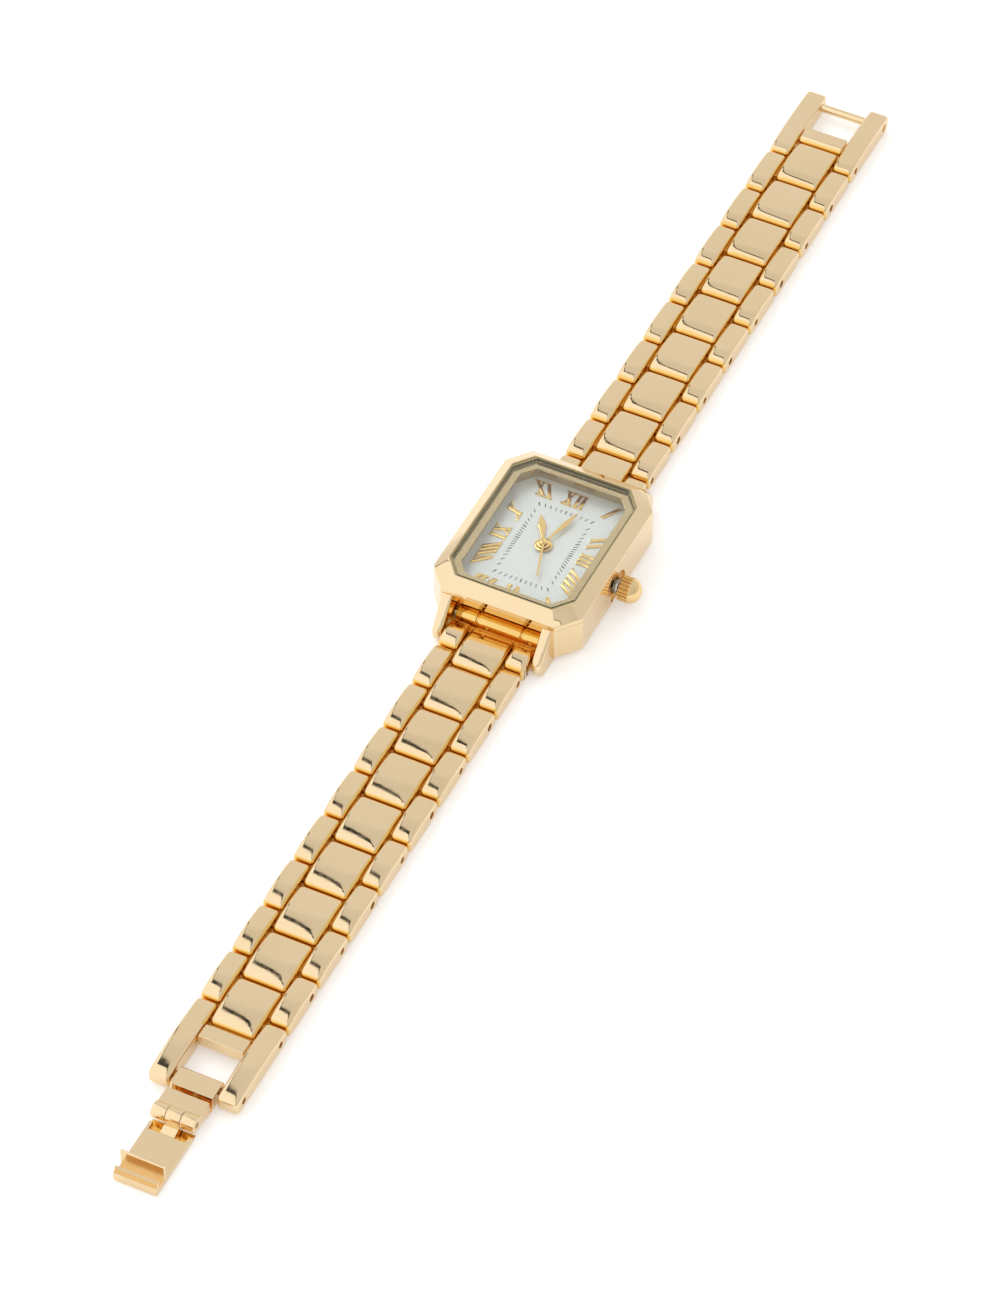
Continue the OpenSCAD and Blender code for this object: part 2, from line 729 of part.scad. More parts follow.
module crown_stem() {
    color(STEEL) difference() {
        translate([stem_in_x, 0, crown_z]) rotate([0, 90, 0]) cylinder(h = cap_x - 0.1 - stem_in_x, r = stem_r);
        translate([neck_x, 0, crown_z]) rotate([0, 90, 0]) difference() {
            cylinder(h = neck_l, r = stem_r + 1);
            cylinder(h = neck_l, r = neck_r);
        }
    }
}

module crown() {
    rib_r = 0.17;
    color(GOLD) difference() {
        union() {
            translate([crown_x, 0, crown_z]) rotate([0, 90, 0]) linear_extrude(barrel_l) {
                circle(crown_r - rib_r);
                for (i = [0 : flutes - 1]) {
                    rotate(i * 360 / flutes) translate([crown_r - rib_r, 0]) circle(rib_r, $fn = 24);
                }
            }
            translate([cap_x - 0.1, 0, crown_z]) rotate([0, 90, 0]) rotate_extrude() intersection() {
                translate([0, dome_h - dome_r]) circle(dome_r);
                square([cap_r, dome_h]);
            }
        }
        translate([crown_x - 1, 0, crown_z]) rotate([0, 90, 0]) cylinder(h = crown_bore_l + 1, r = tube_r + run);
        translate([crown_x, 0, crown_z]) rotate([0, 90, 0]) cylinder(h = cap_x - 0.1 - crown_x, r = stem_r);
    }
}

module crown_tube() {
    color(STEEL) difference() {
        translate([tube_in_x, 0, crown_z]) rotate([0, 90, 0]) cylinder(h = tube_end_x - tube_in_x, r = tube_r);
        translate([0, 0, crown_z]) rotate([0, 90, 0]) cylinder(h = past, r = stem_r + run);
    }
}

// Back

module case_back() {
    plug_z = case_under_z + back_t;
    color(GOLD) difference() {
        union() {
            cut_corner(cavity_x + 1.2, back_y, corner_x, corner_y, 0, case_under_z);
            cut_corner(cavity_x - fit, cavity_y - fit, corner_x, corner_y, case_under_z, plug_z);
        }
        difference() {
            cut_corner(past, past, corner_x, corner_y, case_under_z + 0.1, plug_z - 0.1);
            cut_corner(cavity_x - 0.35, cavity_y - 0.35, corner_x, corner_y, 0, past);
        }
        // Notch for the tool that opens the back
        translate([-1.2, -back_y - 0.5, 0.2]) cube([2.4, 0.7, 1]);
    }
}

module back_gasket() {
    color("#2B2B2B") difference() {
        cut_corner(cavity_x, cavity_y, corner_x, corner_y, case_under_z + 0.1, case_under_z + back_t - 0.1);
        cut_corner(cavity_x - 0.35, cavity_y - 0.35, corner_x, corner_y, 0, past);
    }
}

module spring_bars() {
    tip_x = lug_in + bar_hole - 0.05;
    color(STEEL) for (side = SIDES) {
        on_side(side) {
            bar(-half_bracelet, half_bracelet, bar_y, hinge_z, bar_r);
            bar(-tip_x, tip_x, bar_y, hinge_z, bar_tip_r);
        }
    }
}

// Bracelet

// The end link turns on the spring bar with a row of three barrels
module end_link(side) {
    half_c = centre_w / 2;
    web_z = hinge_z - barrel_r;
    color(GOLD) on_side(side) difference() {
        union() {
            pad(-half_c, half_c, end_pad_s, seam_at(1) - seam / 2);
            for (x0 = [-half_bracelet, half_c + slit]) {
                pad(x0, x0 + outer_w, end_pad_s, seam_at(1) - first_lead - seam / 2);
            }
            bar(-half_c, half_c, bar_y, hinge_z, barrel_r);
            for (x0 = [-half_bracelet, half_c + slit]) {
                bar(x0, x0 + outer_w, bar_y, hinge_z, barrel_r);
            }
            // Core under the slits, from the barrels to the pads
            bar(-half_bracelet + 0.5, half_bracelet - 0.5, bar_y, hinge_z, barrel_r - 0.2);
            across(-half_bracelet + 0.5, half_bracelet - 0.5)
                side_square(bar_y, end_pad_s + 1, web_z + 0.05, hinge_z + barrel_r * 0.45);
        }
        bar(-past, past, bar_y, hinge_z, bar_r + pin_play);
        bar(-past, past, pin_at(1), hinge_z, pin_r + pin_play);
    }
}

// Three pads on a core that stays below the slits
module link_pads(k, outer_end, centre_end) {
    half_c = centre_w / 2;
    pad(-half_c, half_c, seam_at(k) + seam / 2, centre_end);
    for (x0 = [-half_bracelet, half_c + slit]) {
        pad(x0, x0 + outer_w, seam_at(k) - lead_of(k) + seam / 2, outer_end);
    }
}

// Odd links hold the pins of both their ends fast, and even links turn on them
function fork_hole(k) = k % 2 == 1 ? pin_r : pin_r + pin_play;
function tongue_hole(k) = k % 2 == 1 ? pin_r : pin_r + pin_play;

module link(side, k) {
    core_in = pad_r;
    color(GOLD) on_side(side) difference() {
        union() {
            link_pads(k, seam_at(k + 1) - fork_lead - seam / 2, seam_at(k + 1) - seam / 2);
            across(-half_bracelet + 1, half_bracelet - 1)
                side_square(seam_at(k) + core_in, seam_at(k + 1) - fork_lead - core_in,
                            bracelet_z + 0.4, pad_top_z - pad_rise - 0.75);
        }
        bar(-past, past, pin_at(k), hinge_z, fork_hole(k));
        bar(-past, past, pin_at(k + 1), hinge_z, tongue_hole(k));
    }
}

module link_pin(k) {
    bar(pin_recess - half_bracelet, half_bracelet - pin_recess, pin_at(k), hinge_z, pin_r);
}

// The two pins that link k, or the end frame, holds
module pins(side, k) {
    color(STEEL) on_side(side) {
        link_pin(k);
        if (k <= LINKS) {
            link_pin(k + 1);
        }
    }
}

// Side view of the cross plate: a rounded edge towards the links, a flat top and a square front
module cross_2d() {
    k = LINKS + 1;
    start_s = seam_at(k) + seam / 2;
    edge_r = cross_t / 2;
    side_disc(start_s + edge_r, cross_top_z - edge_r, edge_r);
    side_square(start_s + edge_r, seam_at(k) + cross_l, cross_top_z - cross_t, cross_top_z);
}

// Long open frame at the end of each half
module end_frame(side) {
    k = LINKS + 1;
    half_c = centre_w / 2;
    color(GOLD) on_side(side) difference() {
        union() {
            for (x0 = [-half_bracelet, half_c + slit]) {
                pad(x0, x0 + outer_w, seam_at(k) - fork_lead + seam / 2, frame_end_s);
            }
            across(-half_c, half_c) cross_2d();
            // Core under the slits, from the cross plate to the arms
            across(-half_bracelet + 1, half_bracelet - 1)
                side_square(seam_at(k) + 0.5, seam_at(k) + cross_l - 0.3,
                            cross_top_z - cross_t + 0.3, cross_top_z - 0.5);
        }
        bar(-past, past, pin_at(k), hinge_z, pin_r);
        bar(-past, past, frame_pin_s, hinge_z, side == "12" ? catch_r : pin_r);
    }
}

// Clasp

module catch_bar() {
    color(GOLD) on_side("12")
        bar(pin_recess - half_bracelet, half_bracelet - pin_recess, frame_pin_s, hinge_z, catch_r);
}

module frame_pin() {
    color(STEEL) on_side("6")
        bar(pin_recess - half_bracelet, half_bracelet - pin_recess, frame_pin_s, hinge_z, pin_r);
}

// Side view of the block that turns on the frame pin, of the slot ahead of it and of the flat plate
module fold_block_2d() {
    back_s = frame_pin_s - block_back;
    top_s = frame_pin_s + block_front;
    edge_r = 0.5;
    slot_z = plate_z + 0.2;
    polygon([[back_s + edge_r, plate_z], [slot_s, plate_z], [slot_s, plate_top - 0.1], [top_s, block_top_z],
             [back_s + edge_r, block_top_z]]);
    side_square(back_s, back_s + edge_r, plate_z + edge_r, block_top_z - edge_r);
    side_disc(back_s + edge_r, plate_z + edge_r, edge_r);
    side_disc(back_s + edge_r, block_top_z - edge_r, edge_r);
    side_square(slot_s, slot_s + slot_w, plate_z, slot_z);
    side_square(slot_s + slot_w, ramp_s, plate_z, plate_top);
}

// Height of the ramp at distance s, and of its underside, which climbs less steeply
function ramp_top(s) = plate_top + (s - ramp_s) * ramp_slope;
function ramp_under(s) = plate_z + (s - ramp_s) * ramp_slope * 0.6;

module ramp_2d(s1) {
    polygon([[ramp_s, plate_z], ramp_foot, [s1, ramp_top(s1)], [s1, ramp_under(s1)]]);
}

// Side view of an outer knuckle with the end of the ramp that wraps it
module knuckle_2d() {
    ramp_2d(ramp_end_s);
    polygon([[ramp_end_s, ramp_under(ramp_end_s)], [ramp_end_s, ramp_top(ramp_end_s)], ramp_head,
             [hinge_s, knuckle_z], [hinge_s, knuckle_z - knuckle_r]]);
    side_disc(hinge_s, knuckle_z, knuckle_r);
}

// Plate that turns on the frame pin and carries two of the three hinge knuckles
module fold_plate() {
    half_p = clasp_w / 2;
    color(GOLD) on_side("6") difference() {
        union() {
            across(-half_p, half_p) {
                fold_block_2d();
                ramp_2d(ramp_end_s);
            }
            for (x0 = [-half_p, strap_w / 2 + run]) {
                across(x0, x0 + half_p - strap_w / 2 - run) knuckle_2d();
            }
        }
        bar(-past, past, frame_pin_s, hinge_z, pin_r + pin_play);
        bar(-past, past, hinge_s, knuckle_z, hinge_pin_r);
        // Notch through the slot's floor
        across(-notch_w / 2, notch_w / 2) side_square(slot_s - 0.25, slot_s + slot_w, 0, plate_top);
    }
}

module hinge_pin() {
    color(STEEL) on_side("6") bar(0.05 - clasp_w / 2, clasp_w / 2 - 0.05, hinge_s, knuckle_z, hinge_pin_r);
}

// Side view of the hooking ridge, the groove for the catch bar and the low stepped ridge at the end
module hook_2d() {
    ridge_s = groove_s - groove_half;
    lip_s = groove_s + groove_half;
    side_square(ridge_s - hook_t, ridge_s, latch_z, latch_top + hook_h - hook_t / 2);
    side_disc(ridge_s - hook_t / 2, latch_top + hook_h - hook_t / 2, hook_t / 2);
    side_square(ridge_s, lip_s, latch_z, latch_top);
    side_square(lip_s, lip_s + lip_t, latch_z, latch_top + lip_h);
    side_square(lip_s + lip_t, lip_s + 2 * lip_t, latch_z, latch_top + lip_h / 2);
}

// Side view of the strap that wraps the hinge pin and lands on the latch plate
module strap_2d() {
    toe_s = latch_s + pocket_l - 0.1;
    // The strap leaves the knuckle so low that it clears the ramp when the plates lie folded
    leave_a = -38;
    side_disc(hinge_s, knuckle_z, knuckle_r);
    polygon([[hinge_s, knuckle_z],
             [hinge_s + knuckle_r * cos(leave_a), knuckle_z + knuckle_r * sin(leave_a)],
             [toe_s, latch_top], [toe_s, latch_z], [latch_s, latch_z], [hinge_s, knuckle_z - knuckle_r]]);
}

// Plate that folds over the fold plate: its groove takes the catch bar between two ridges
module latch_plate() {
    half_p = clasp_w / 2;
    color(GOLD) on_side("6") difference() {
        union() {
            across(-half_p, half_p) {
                side_square(latch_s, groove_s - groove_half - hook_t, latch_z, latch_top);
                hook_2d();
            }
            across(-strap_w / 2, strap_w / 2) strap_2d();
        }
        bar(-past, past, hinge_s, knuckle_z, hinge_pin_r + pin_play);
        for (x0 = [-strap_w / 2 - pocket_w, strap_w / 2]) {
            translate([x0, latch_s - 0.5, latch_z + pocket_floor]) cube([pocket_w, pocket_l + 0.5, past]);
        }
    }
}

case_body();
bezel();
crystal();
crystal_gasket();
flange_ring();
dial();
hour_markers();
hour_hand();
minute_hand();
seconds_hand();
hour_wheel();
cannon_pinion();
seconds_arbor();
movement_plate();
movement_ring();
battery();
coil();
setting_lever();
crown_stem();
crown();
crown_tube();
case_back();
back_gasket();
spring_bars();
for (side = SIDES) {
    end_link(side);
    for (k = [1 : LINKS]) {
        link(side, k);
    }
    for (k = [1 : 2 : LINKS + 1]) {
        pins(side, k);
    }
    end_frame(side);
}
catch_bar();
frame_pin();
fold_plate();
hinge_pin();
latch_plate();
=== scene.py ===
"""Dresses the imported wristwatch: polished plating, printed dial, applied numerals, glass and pads.

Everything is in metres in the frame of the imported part: +X towards the crown, +Y towards twelve o'clock,
+Z up through the dial. Sizes are given in millimetres and turned to metres by MM.
"""

from __future__ import annotations

import json
import logging
import math
from contextlib import contextmanager
from dataclasses import dataclass, field
from enum import Enum
from typing import Callable, Iterable, Iterator, Sequence

import bpy
from mathutils import Matrix, Vector

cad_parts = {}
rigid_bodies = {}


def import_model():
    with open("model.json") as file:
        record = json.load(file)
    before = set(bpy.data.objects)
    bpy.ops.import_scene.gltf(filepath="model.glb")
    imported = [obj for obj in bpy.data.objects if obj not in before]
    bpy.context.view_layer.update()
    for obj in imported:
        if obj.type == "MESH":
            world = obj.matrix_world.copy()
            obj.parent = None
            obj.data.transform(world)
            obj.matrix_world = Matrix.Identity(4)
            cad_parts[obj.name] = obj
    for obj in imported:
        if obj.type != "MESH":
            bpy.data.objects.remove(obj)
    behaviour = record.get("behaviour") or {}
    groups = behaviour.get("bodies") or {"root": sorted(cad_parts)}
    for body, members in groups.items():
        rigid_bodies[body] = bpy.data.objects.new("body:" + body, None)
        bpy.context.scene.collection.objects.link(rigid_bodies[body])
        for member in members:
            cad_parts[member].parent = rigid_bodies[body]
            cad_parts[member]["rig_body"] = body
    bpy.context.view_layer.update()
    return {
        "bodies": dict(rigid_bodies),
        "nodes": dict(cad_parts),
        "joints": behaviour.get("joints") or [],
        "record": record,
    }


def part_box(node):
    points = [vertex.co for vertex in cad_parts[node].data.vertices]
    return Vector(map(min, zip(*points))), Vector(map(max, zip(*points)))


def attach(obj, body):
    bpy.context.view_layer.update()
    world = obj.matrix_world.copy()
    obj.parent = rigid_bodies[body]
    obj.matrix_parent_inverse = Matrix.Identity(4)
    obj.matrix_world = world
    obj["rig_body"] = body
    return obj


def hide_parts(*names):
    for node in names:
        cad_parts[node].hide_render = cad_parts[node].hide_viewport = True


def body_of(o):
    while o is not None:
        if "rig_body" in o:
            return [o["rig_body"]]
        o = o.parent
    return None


Piece, Material = bpy.types.Object, bpy.types.Material
Tree, Node, Socket = bpy.types.NodeTree, bpy.types.Node, bpy.types.NodeSocket
Place = tuple[float, float, float]
Span = tuple[float, float]
Steps = tuple[Span, ...]
Test = Callable[[Vector, Vector], bool]

LOG = logging.getLogger("watch")
MM = 0.001
# Two places that lie no further apart than this count as the same
TOUCH_MM = 1e-3
# A face whose normal points along an axis by more than this is square to it
STEEP = 0.9
# Levels of a cloudy pattern between which a colour drifts from one tone to the other
DRIFT_BETWEEN = (0.3, 0.7)


class Side(Enum):
    """The two halves of the bracelet, as the nodes' names have them."""

    TWELVE = "12"
    SIX = "6"


class Axis(Enum):
    """Directions that rods run along and cuts are square to."""

    X = 0
    Y = 1
    Z = 2

    @property
    def direction(self) -> Vector:
        """Unit vector along the axis."""
        return Vector([float(self.value == i) for i in range(3)])


def linear(hex_colour: str) -> tuple[float, float, float, float]:
    """Turns an sRGB hex colour to linear light.

    Args:
        hex_colour: Colour such as "#E3CDA0".

    Returns:
        Linear red, green, blue and an alpha of one.
    """
    parts = [int(hex_colour[i:i + 2], 16) / 255 for i in (1, 3, 5)]
    light = [c / 12.92 if c <= 0.04045 else ((c + 0.055) / 1.055) ** 2.4 for c in parts]
    return light[0], light[1], light[2], 1.0


def add_node(tree: Tree, kind: str, inputs: dict | None = None, **settings: object) -> Node:
    """Adds a shader node with its settings and with what its inputs take.

    Args:
        tree: Tree that the node goes into.
        kind: Blender's name of the node type.
        inputs: Input socket name or number to a constant, to the socket that feeds it, or to the
            node whose first output feeds it.
        **settings: Properties set on the node itself.

    Returns:
        The new node.
    """
    made = tree.nodes.new(kind)
    for name, setting in settings.items():
        setattr(made, name, setting)
    for name, source in (inputs or {}).items():
        if isinstance(source, (Node, Socket)):
            tree.links.new(source.outputs[0] if isinstance(source, Node) else source, made.inputs[name])
        else:
            made.inputs[name].default_value = source
    return made


def new_material(name: str) -> tuple[Material, Tree]:
    """Makes an empty node material.

    Args:
        name: Name of the material.

    Returns:
        The material and its node tree.
    """
    material = bpy.data.materials.new(name)
    material.use_nodes = True
    material.node_tree.nodes.clear()
    return material, material.node_tree


def cloud(tree: Tree, period_mm: float, detail: float = 2.0, roughness: float = 0.5) -> Node:
    """Adds a cloudy pattern on Object coordinates whose cells have a real size.

    Args:
        tree: Tree that the nodes go into.
        period_mm: Size of one cell of the pattern, in millimetres.
        detail: Number of finer layers.
        roughness: Share that each finer layer adds.

    Returns:
        The node whose first output is the pattern.
    """
    place = add_node(tree, "ShaderNodeTexCoord").outputs["Object"]
    return add_node(tree, "ShaderNodeTexNoise", {"Vector": place, "Scale": 1 / (period_mm * MM),
                                                 "Detail": detail, "Roughness": roughness})


def drifting(tree: Tree, pattern: Node, low: str, high: str) -> Node:
    """Turns a cloudy pattern into a colour that drifts between two hex colours.

    Args:
        tree: Tree that the nodes go into.
        pattern: Node that gives the pattern.
        low: Colour where the pattern is low.
        high: Colour where the pattern is high.

    Returns:
        The node whose first output is the colour.
    """
    graded = add_node(tree, "ShaderNodeValToRGB", {"Fac": pattern})
    for element, position, colour in zip(graded.color_ramp.elements, DRIFT_BETWEEN, (low, high)):
        element.position = position
        element.color = linear(colour)
    return graded


@dataclass(frozen=True)
class Plating:
    """Polished metal plating, electroplated over die-cast and stamped parts.

    Plating over a buffed base keeps a faint waviness, so reflections of straight edges come out a little
    ragged, and the colour drifts slightly from piece to piece.
    """

    name: str
    colour: str
    drift: str
    roughness: float
    wave_mm: float
    wave_height: float
    drift_mm: float = 9.0
    wave_layers: float = 0.45
    smear_mm: float = 0.8
    smear_between: tuple[float, float] = (0.35, 0.75)
    dullness: tuple[float, float] = (0.7, 1.5)

    def make(self) -> Material:
        """Builds the material."""
        material, tree = new_material(self.name)
        tone = drifting(tree, cloud(tree, self.drift_mm), self.colour, self.drift)
        low, high = self.smear_between
        clean, smeared = (self.roughness * share for share in self.dullness)
        polish = add_node(tree, "ShaderNodeMapRange",
                          {"Value": cloud(tree, self.smear_mm, 3.0), "From Min": low, "From Max": high,
                           "To Min": clean, "To Max": smeared})
        relief = add_node(tree, "ShaderNodeBump",
                          {"Height": cloud(tree, self.wave_mm, roughness=self.wave_layers),
                           "Strength": 1.0, "Distance": self.wave_height * MM})
        shader = add_node(tree, "ShaderNodeBsdfPrincipled",
                          {"Base Color": tone, "Roughness": polish, "Normal": relief, "Metallic": 1.0})
        add_node(tree, "ShaderNodeOutputMaterial", {"Surface": shader})
        return material


@dataclass(frozen=True)
class TurnedSteel:
    """Stainless steel as it comes off a lathe: fine rings that scatter the light across them."""

    name: str
    colour: str
    roughness: float
    grain_mm: float = 0.05
    grain_depth: float = 0.002
    grain_strength: float = 0.3

    def make(self) -> Material:
        """Builds the material."""
        material, tree = new_material(self.name)
        relief = add_node(tree, "ShaderNodeBump",
                          {"Height": cloud(tree, self.grain_mm), "Strength": self.grain_strength,
                           "Distance": self.grain_depth * MM})
        shader = add_node(tree, "ShaderNodeBsdfPrincipled",
                          {"Base Color": linear(self.colour), "Metallic": 1.0,
                           "Roughness": self.roughness, "Normal": relief})
        add_node(tree, "ShaderNodeOutputMaterial", {"Surface": shader})
        return material


@dataclass(frozen=True)
class Lacquer:
    """Sprayed lacquer, paint, moulded plastic or rubber: a coloured body under a soft sheen."""

    name: str
    colour: str
    drift: str
    roughness: float
    grit_mm: float
    metallic: float = 0.0
    drift_mm: float = 6.0
    grit_depth: float = 0.004
    grit_strength: float = 0.25

    def make(self) -> Material:
        """Builds the material."""
        material, tree = new_material(self.name)
        tone = drifting(tree, cloud(tree, self.drift_mm), self.colour, self.drift)
        relief = add_node(tree, "ShaderNodeBump",
                          {"Height": cloud(tree, self.grit_mm), "Strength": self.grit_strength,
                           "Distance": self.grit_depth * MM})
        shader = add_node(tree, "ShaderNodeBsdfPrincipled",
                          {"Base Color": tone, "Metallic": self.metallic, "Roughness": self.roughness,
                           "Normal": relief})
        add_node(tree, "ShaderNodeOutputMaterial", {"Surface": shader})
        return material


@dataclass(frozen=True)
class MineralGlass:
    """Flat mineral crystal, ground and polished. Shadow rays pass, so the dial under it stays lit."""

    name: str
    tint: str
    ior: float = 1.5

    def make(self) -> Material:
        """Builds the material."""
        material, tree = new_material(self.name)
        shader = add_node(tree, "ShaderNodeBsdfPrincipled",
                          {"Base Color": linear(self.tint), "Roughness": 0.0,
                           "Transmission Weight": 1.0, "IOR": self.ior})
        clear = add_node(tree, "ShaderNodeBsdfTransparent")
        shadow = add_node(tree, "ShaderNodeLightPath").outputs["Is Shadow Ray"]
        mixed = add_node(tree, "ShaderNodeMixShader", {0: shadow, 1: shader, 2: clear})
        add_node(tree, "ShaderNodeOutputMaterial", {"Surface": mixed})
        return material


class Finishes:
    """Every finish of the watch, made once and shared."""

    def __init__(self) -> None:
        """Builds the materials."""
        self.gold = Plating("champagne_gold_plating", "#F0D7AF", "#EDD3A8", 0.06, 2.4, 0.0022).make()
        self.case_gold = Plating("case_gold_plating", "#F0D8B2", "#EDD4AA", 0.06, 5.0, 0.004).make()
        self.applied = Plating("applied_gold_foil", "#E9C882", "#E3BE74", 0.09, 0.8, 0.001).make()
        # Painted shade: the flange ring's gold is darkened to the shade it lies in under the glass
        self.flange = Plating("flange_gold_with_painted_shade", "#CBB68C", "#C3AD80", 0.09, 3.0, 0.002).make()
        # Painted reflection: a deeper gold put where faces look at each other, standing in for light thrown
        # back and forth between them
        self.painted_bounce_gold = Plating("gold_with_painted_bounce_light", "#EFCB80", "#E9C070", 0.08, 1.6, 0.002).make()
        # Painted reflection: the crown's gold is deeper than the case's, standing in for the floor and gold
        # around it seen in its flutes
        self.crown = Plating("crown_gold_with_painted_reflection", "#F1D3A0", "#ECCB92", 0.07, 1.6, 0.002).make()
        self.satin_gold = Plating("brushed_hook_gold", "#F0D7AF", "#EDD3A8", 0.2, 0.6, 0.0002).make()
        # Painted shade: the pins are a dark orange-brown, standing in for the shade of the recesses they
        # sit in
        self.pin = TurnedSteel("pin_metal_with_painted_recess_shade", "#A97B45", 0.3).make()
        # Painted shade: a dark brown on the underside of the flange ring's rim, where the rim keeps the
        # light off
        self.shade = Lacquer("flange_underside_painted_shade", "#443E31", "#4A4435", 0.7, 0.1).make()
        self.steel = TurnedSteel("turned_stainless_steel", "#C6C7C9", 0.2).make()
        self.dial = Lacquer("silver_white_dial_lacquer", "#F2F6F3", "#EEF2EE", 0.32, 0.06, 0.1).make()
        self.ink = Lacquer("printed_grey_ink", "#57544E", "#68645C", 0.6, 0.05).make()
        self.gasket = Lacquer("olive_nylon_gasket", "#B5A878", "#A69966", 0.35, 0.1).make()
        self.rubber = Lacquer("back_gasket_rubber", "#232321", "#2A2A28", 0.6, 0.1).make()
        self.spacer = Lacquer("movement_ring_acetal", "#DDD8CA", "#D5D0C0", 0.5, 0.1).make()
        self.copper = Plating("enamelled_copper_wire", "#C47A45", "#B86E3B", 0.3, 0.3, 0.01).make()
        self.brass = Plating("satin_wheel_metal", "#D9B566", "#D2AC5B", 0.25, 0.4, 0.002).make()
        self.crystal = MineralGlass("mineral_crystal", "#FCFDFC").make()


class Bench:
    """Modelling steps shared by all sub-assemblies."""

    MERGE_MM = 0.0005
    FLAT_DEG = 0.5
    SHARP_DEG = 32.0

    def __init__(self, frame: dict) -> None:
        """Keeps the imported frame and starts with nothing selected."""
        self.frame = frame
        self.clear()

    @staticmethod
    def clear() -> None:
        """Deselects every object."""
        if bpy.context.object is not None and bpy.context.object.mode != "OBJECT":
            bpy.ops.object.mode_set(mode="OBJECT")
        bpy.ops.object.select_all(action="DESELECT")

    def activate(self, *pieces: Piece) -> None:
        """Selects only these pieces and makes the first the active one."""
        self.clear()
        for piece in pieces:
            piece.select_set(True)
        bpy.context.view_layer.objects.active = pieces[0]

    @contextmanager
    def editing(self, piece: Piece) -> Iterator[None]:
        """Holds a piece in edit mode, with all of its mesh selected."""
        self.activate(piece)
        bpy.ops.object.mode_set(mode="EDIT")
        bpy.ops.mesh.select_all(action="SELECT")
        yield
        bpy.ops.object.mode_set(mode="OBJECT")

    def apply(self, piece: Piece, kind: str, **settings: object) -> None:
        """Adds a modifier, sets it and applies it.

        Args:
            piece: Piece that is changed.
            kind: Blender's name of the modifier type.
            **settings: Properties of the modifier.
        """
        self.activate(piece)
        modifier = piece.modifiers.new(kind.lower(), kind)
        for name, setting in settings.items():
            setattr(modifier, name, setting)
        bpy.ops.object.modifier_apply(modifier=modifier.name)

    def settled(self, name: str) -> Piece:
        """Names the piece that was just added and puts its place into its mesh."""
        piece = bpy.context.object
        piece.name = name
        self.activate(piece)
        bpy.ops.object.transform_apply(location=True, rotation=True, scale=True)
        return piece

    def smooth(self, piece: Piece, angle_deg: float = SHARP_DEG) -> None:
        """Shades a piece smooth up to an angle and lets its large faces set the normals."""
        self.activate(piece)
        bpy.ops.object.shade_smooth_by_angle(angle=math.radians(angle_deg))
        self.apply(piece, "WEIGHTED_NORMAL", keep_sharp=True, weight=60)

    def copy_node(self, node: str) -> Piece:
        """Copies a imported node's mesh into a new piece, with doubles merged and triangles paired."""
        piece = bpy.data.objects.new(f"{node}_dressed", self.frame["nodes"][node].data.copy())
        piece.data.materials.clear()
        bpy.context.scene.collection.objects.link(piece)
        with self.editing(piece):
            bpy.ops.mesh.remove_doubles(threshold=self.MERGE_MM * MM)
            bpy.ops.mesh.tris_convert_to_quads(face_threshold=math.radians(self.FLAT_DEG),
                                               shape_threshold=math.pi)
        return piece

    def soften(self, piece: Piece, width_mm: float, segments: int = 3,
               angle_deg: float = SHARP_DEG) -> Piece:
        """Rounds the sharp edges of a piece by a real width and smooths it.

        Args:
            piece: Piece that is rounded.
            width_mm: Width of the rounding.
            segments: Number of steps in it.
            angle_deg: Edges sharper than this are rounded.

        Returns:
            The same piece.
        """
        self.apply(piece, "BEVEL", width=width_mm * MM, segments=segments, limit_method="ANGLE",
                   angle_limit=math.radians(angle_deg), use_clamp_overlap=True,
                   miter_outer="MITER_ARC")
        self.smooth(piece)
        return piece

    def dress_node(self, node: str, material: Material, slot: str, width_mm: float,
                   segments: int = 3) -> Piece:
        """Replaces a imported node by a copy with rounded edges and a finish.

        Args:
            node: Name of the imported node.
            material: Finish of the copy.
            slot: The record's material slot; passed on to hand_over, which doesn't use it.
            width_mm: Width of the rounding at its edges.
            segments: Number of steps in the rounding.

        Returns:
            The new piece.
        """
        piece = self.soften(self.copy_node(node), width_mm, segments)
        return self.hand_over(piece, material, slot, node)

    def hand_over(self, piece: Piece, material: Material, slot: str, node: str,
                  replaced: bool = True) -> Piece:
        """Gives a finished piece its material and its body.

        Args:
            piece: Finished piece.
            material: Finish of all its faces.
            slot: The record's material slot; not used.
            node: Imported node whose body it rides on.
            replaced: Whether the piece stands for that node.

        Returns:
            The same piece.
        """
        piece.data.materials.clear()
        piece.data.materials.append(material)
        body = body_of(self.frame["nodes"][node])[0]
        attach(piece, body)
        if replaced:
            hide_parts(node)
        LOG.info("%s rides on %s with %d faces", piece.name, body, len(piece.data.polygons))
        return piece

    @staticmethod
    def refinish(piece: Piece, material: Material, test: Test) -> None:
        """Gives some faces of a finished piece another finish.

        Args:
            piece: Piece that already has its first finish.
            material: The other finish.
            test: Says for a face's middle, in millimetres, and its normal whether it takes the finish.
        """
        piece.data.materials.append(material)
        for face in piece.data.polygons:
            if test(face.center / MM, face.normal):
                face.material_index = len(piece.data.materials) - 1

    def duplicate(self, piece: Piece, name: str, along_mm: float = 0.0, turned: bool = False) -> Piece:
        """Copies a finished piece, mesh and all, along the bracelet or round to the other half.

        Args:
            piece: Piece that was modelled once, on the twelve o'clock side.
            name: Name of the copy.
            along_mm: How far the copy moves away from the case.
            turned: Whether the copy is turned round to the six o'clock side.

        Returns:
            The copy.
        """
        self.activate(piece)
        bpy.ops.object.duplicate(linked=False)
        copy = bpy.context.object
        copy.name = name
        with self.editing(copy):
            bpy.ops.transform.translate(value=(0, along_mm * MM, 0))
            if turned:
                bpy.ops.transform.rotate(value=math.pi, orient_axis="Z", center_override=(0, 0, 0))
        return copy

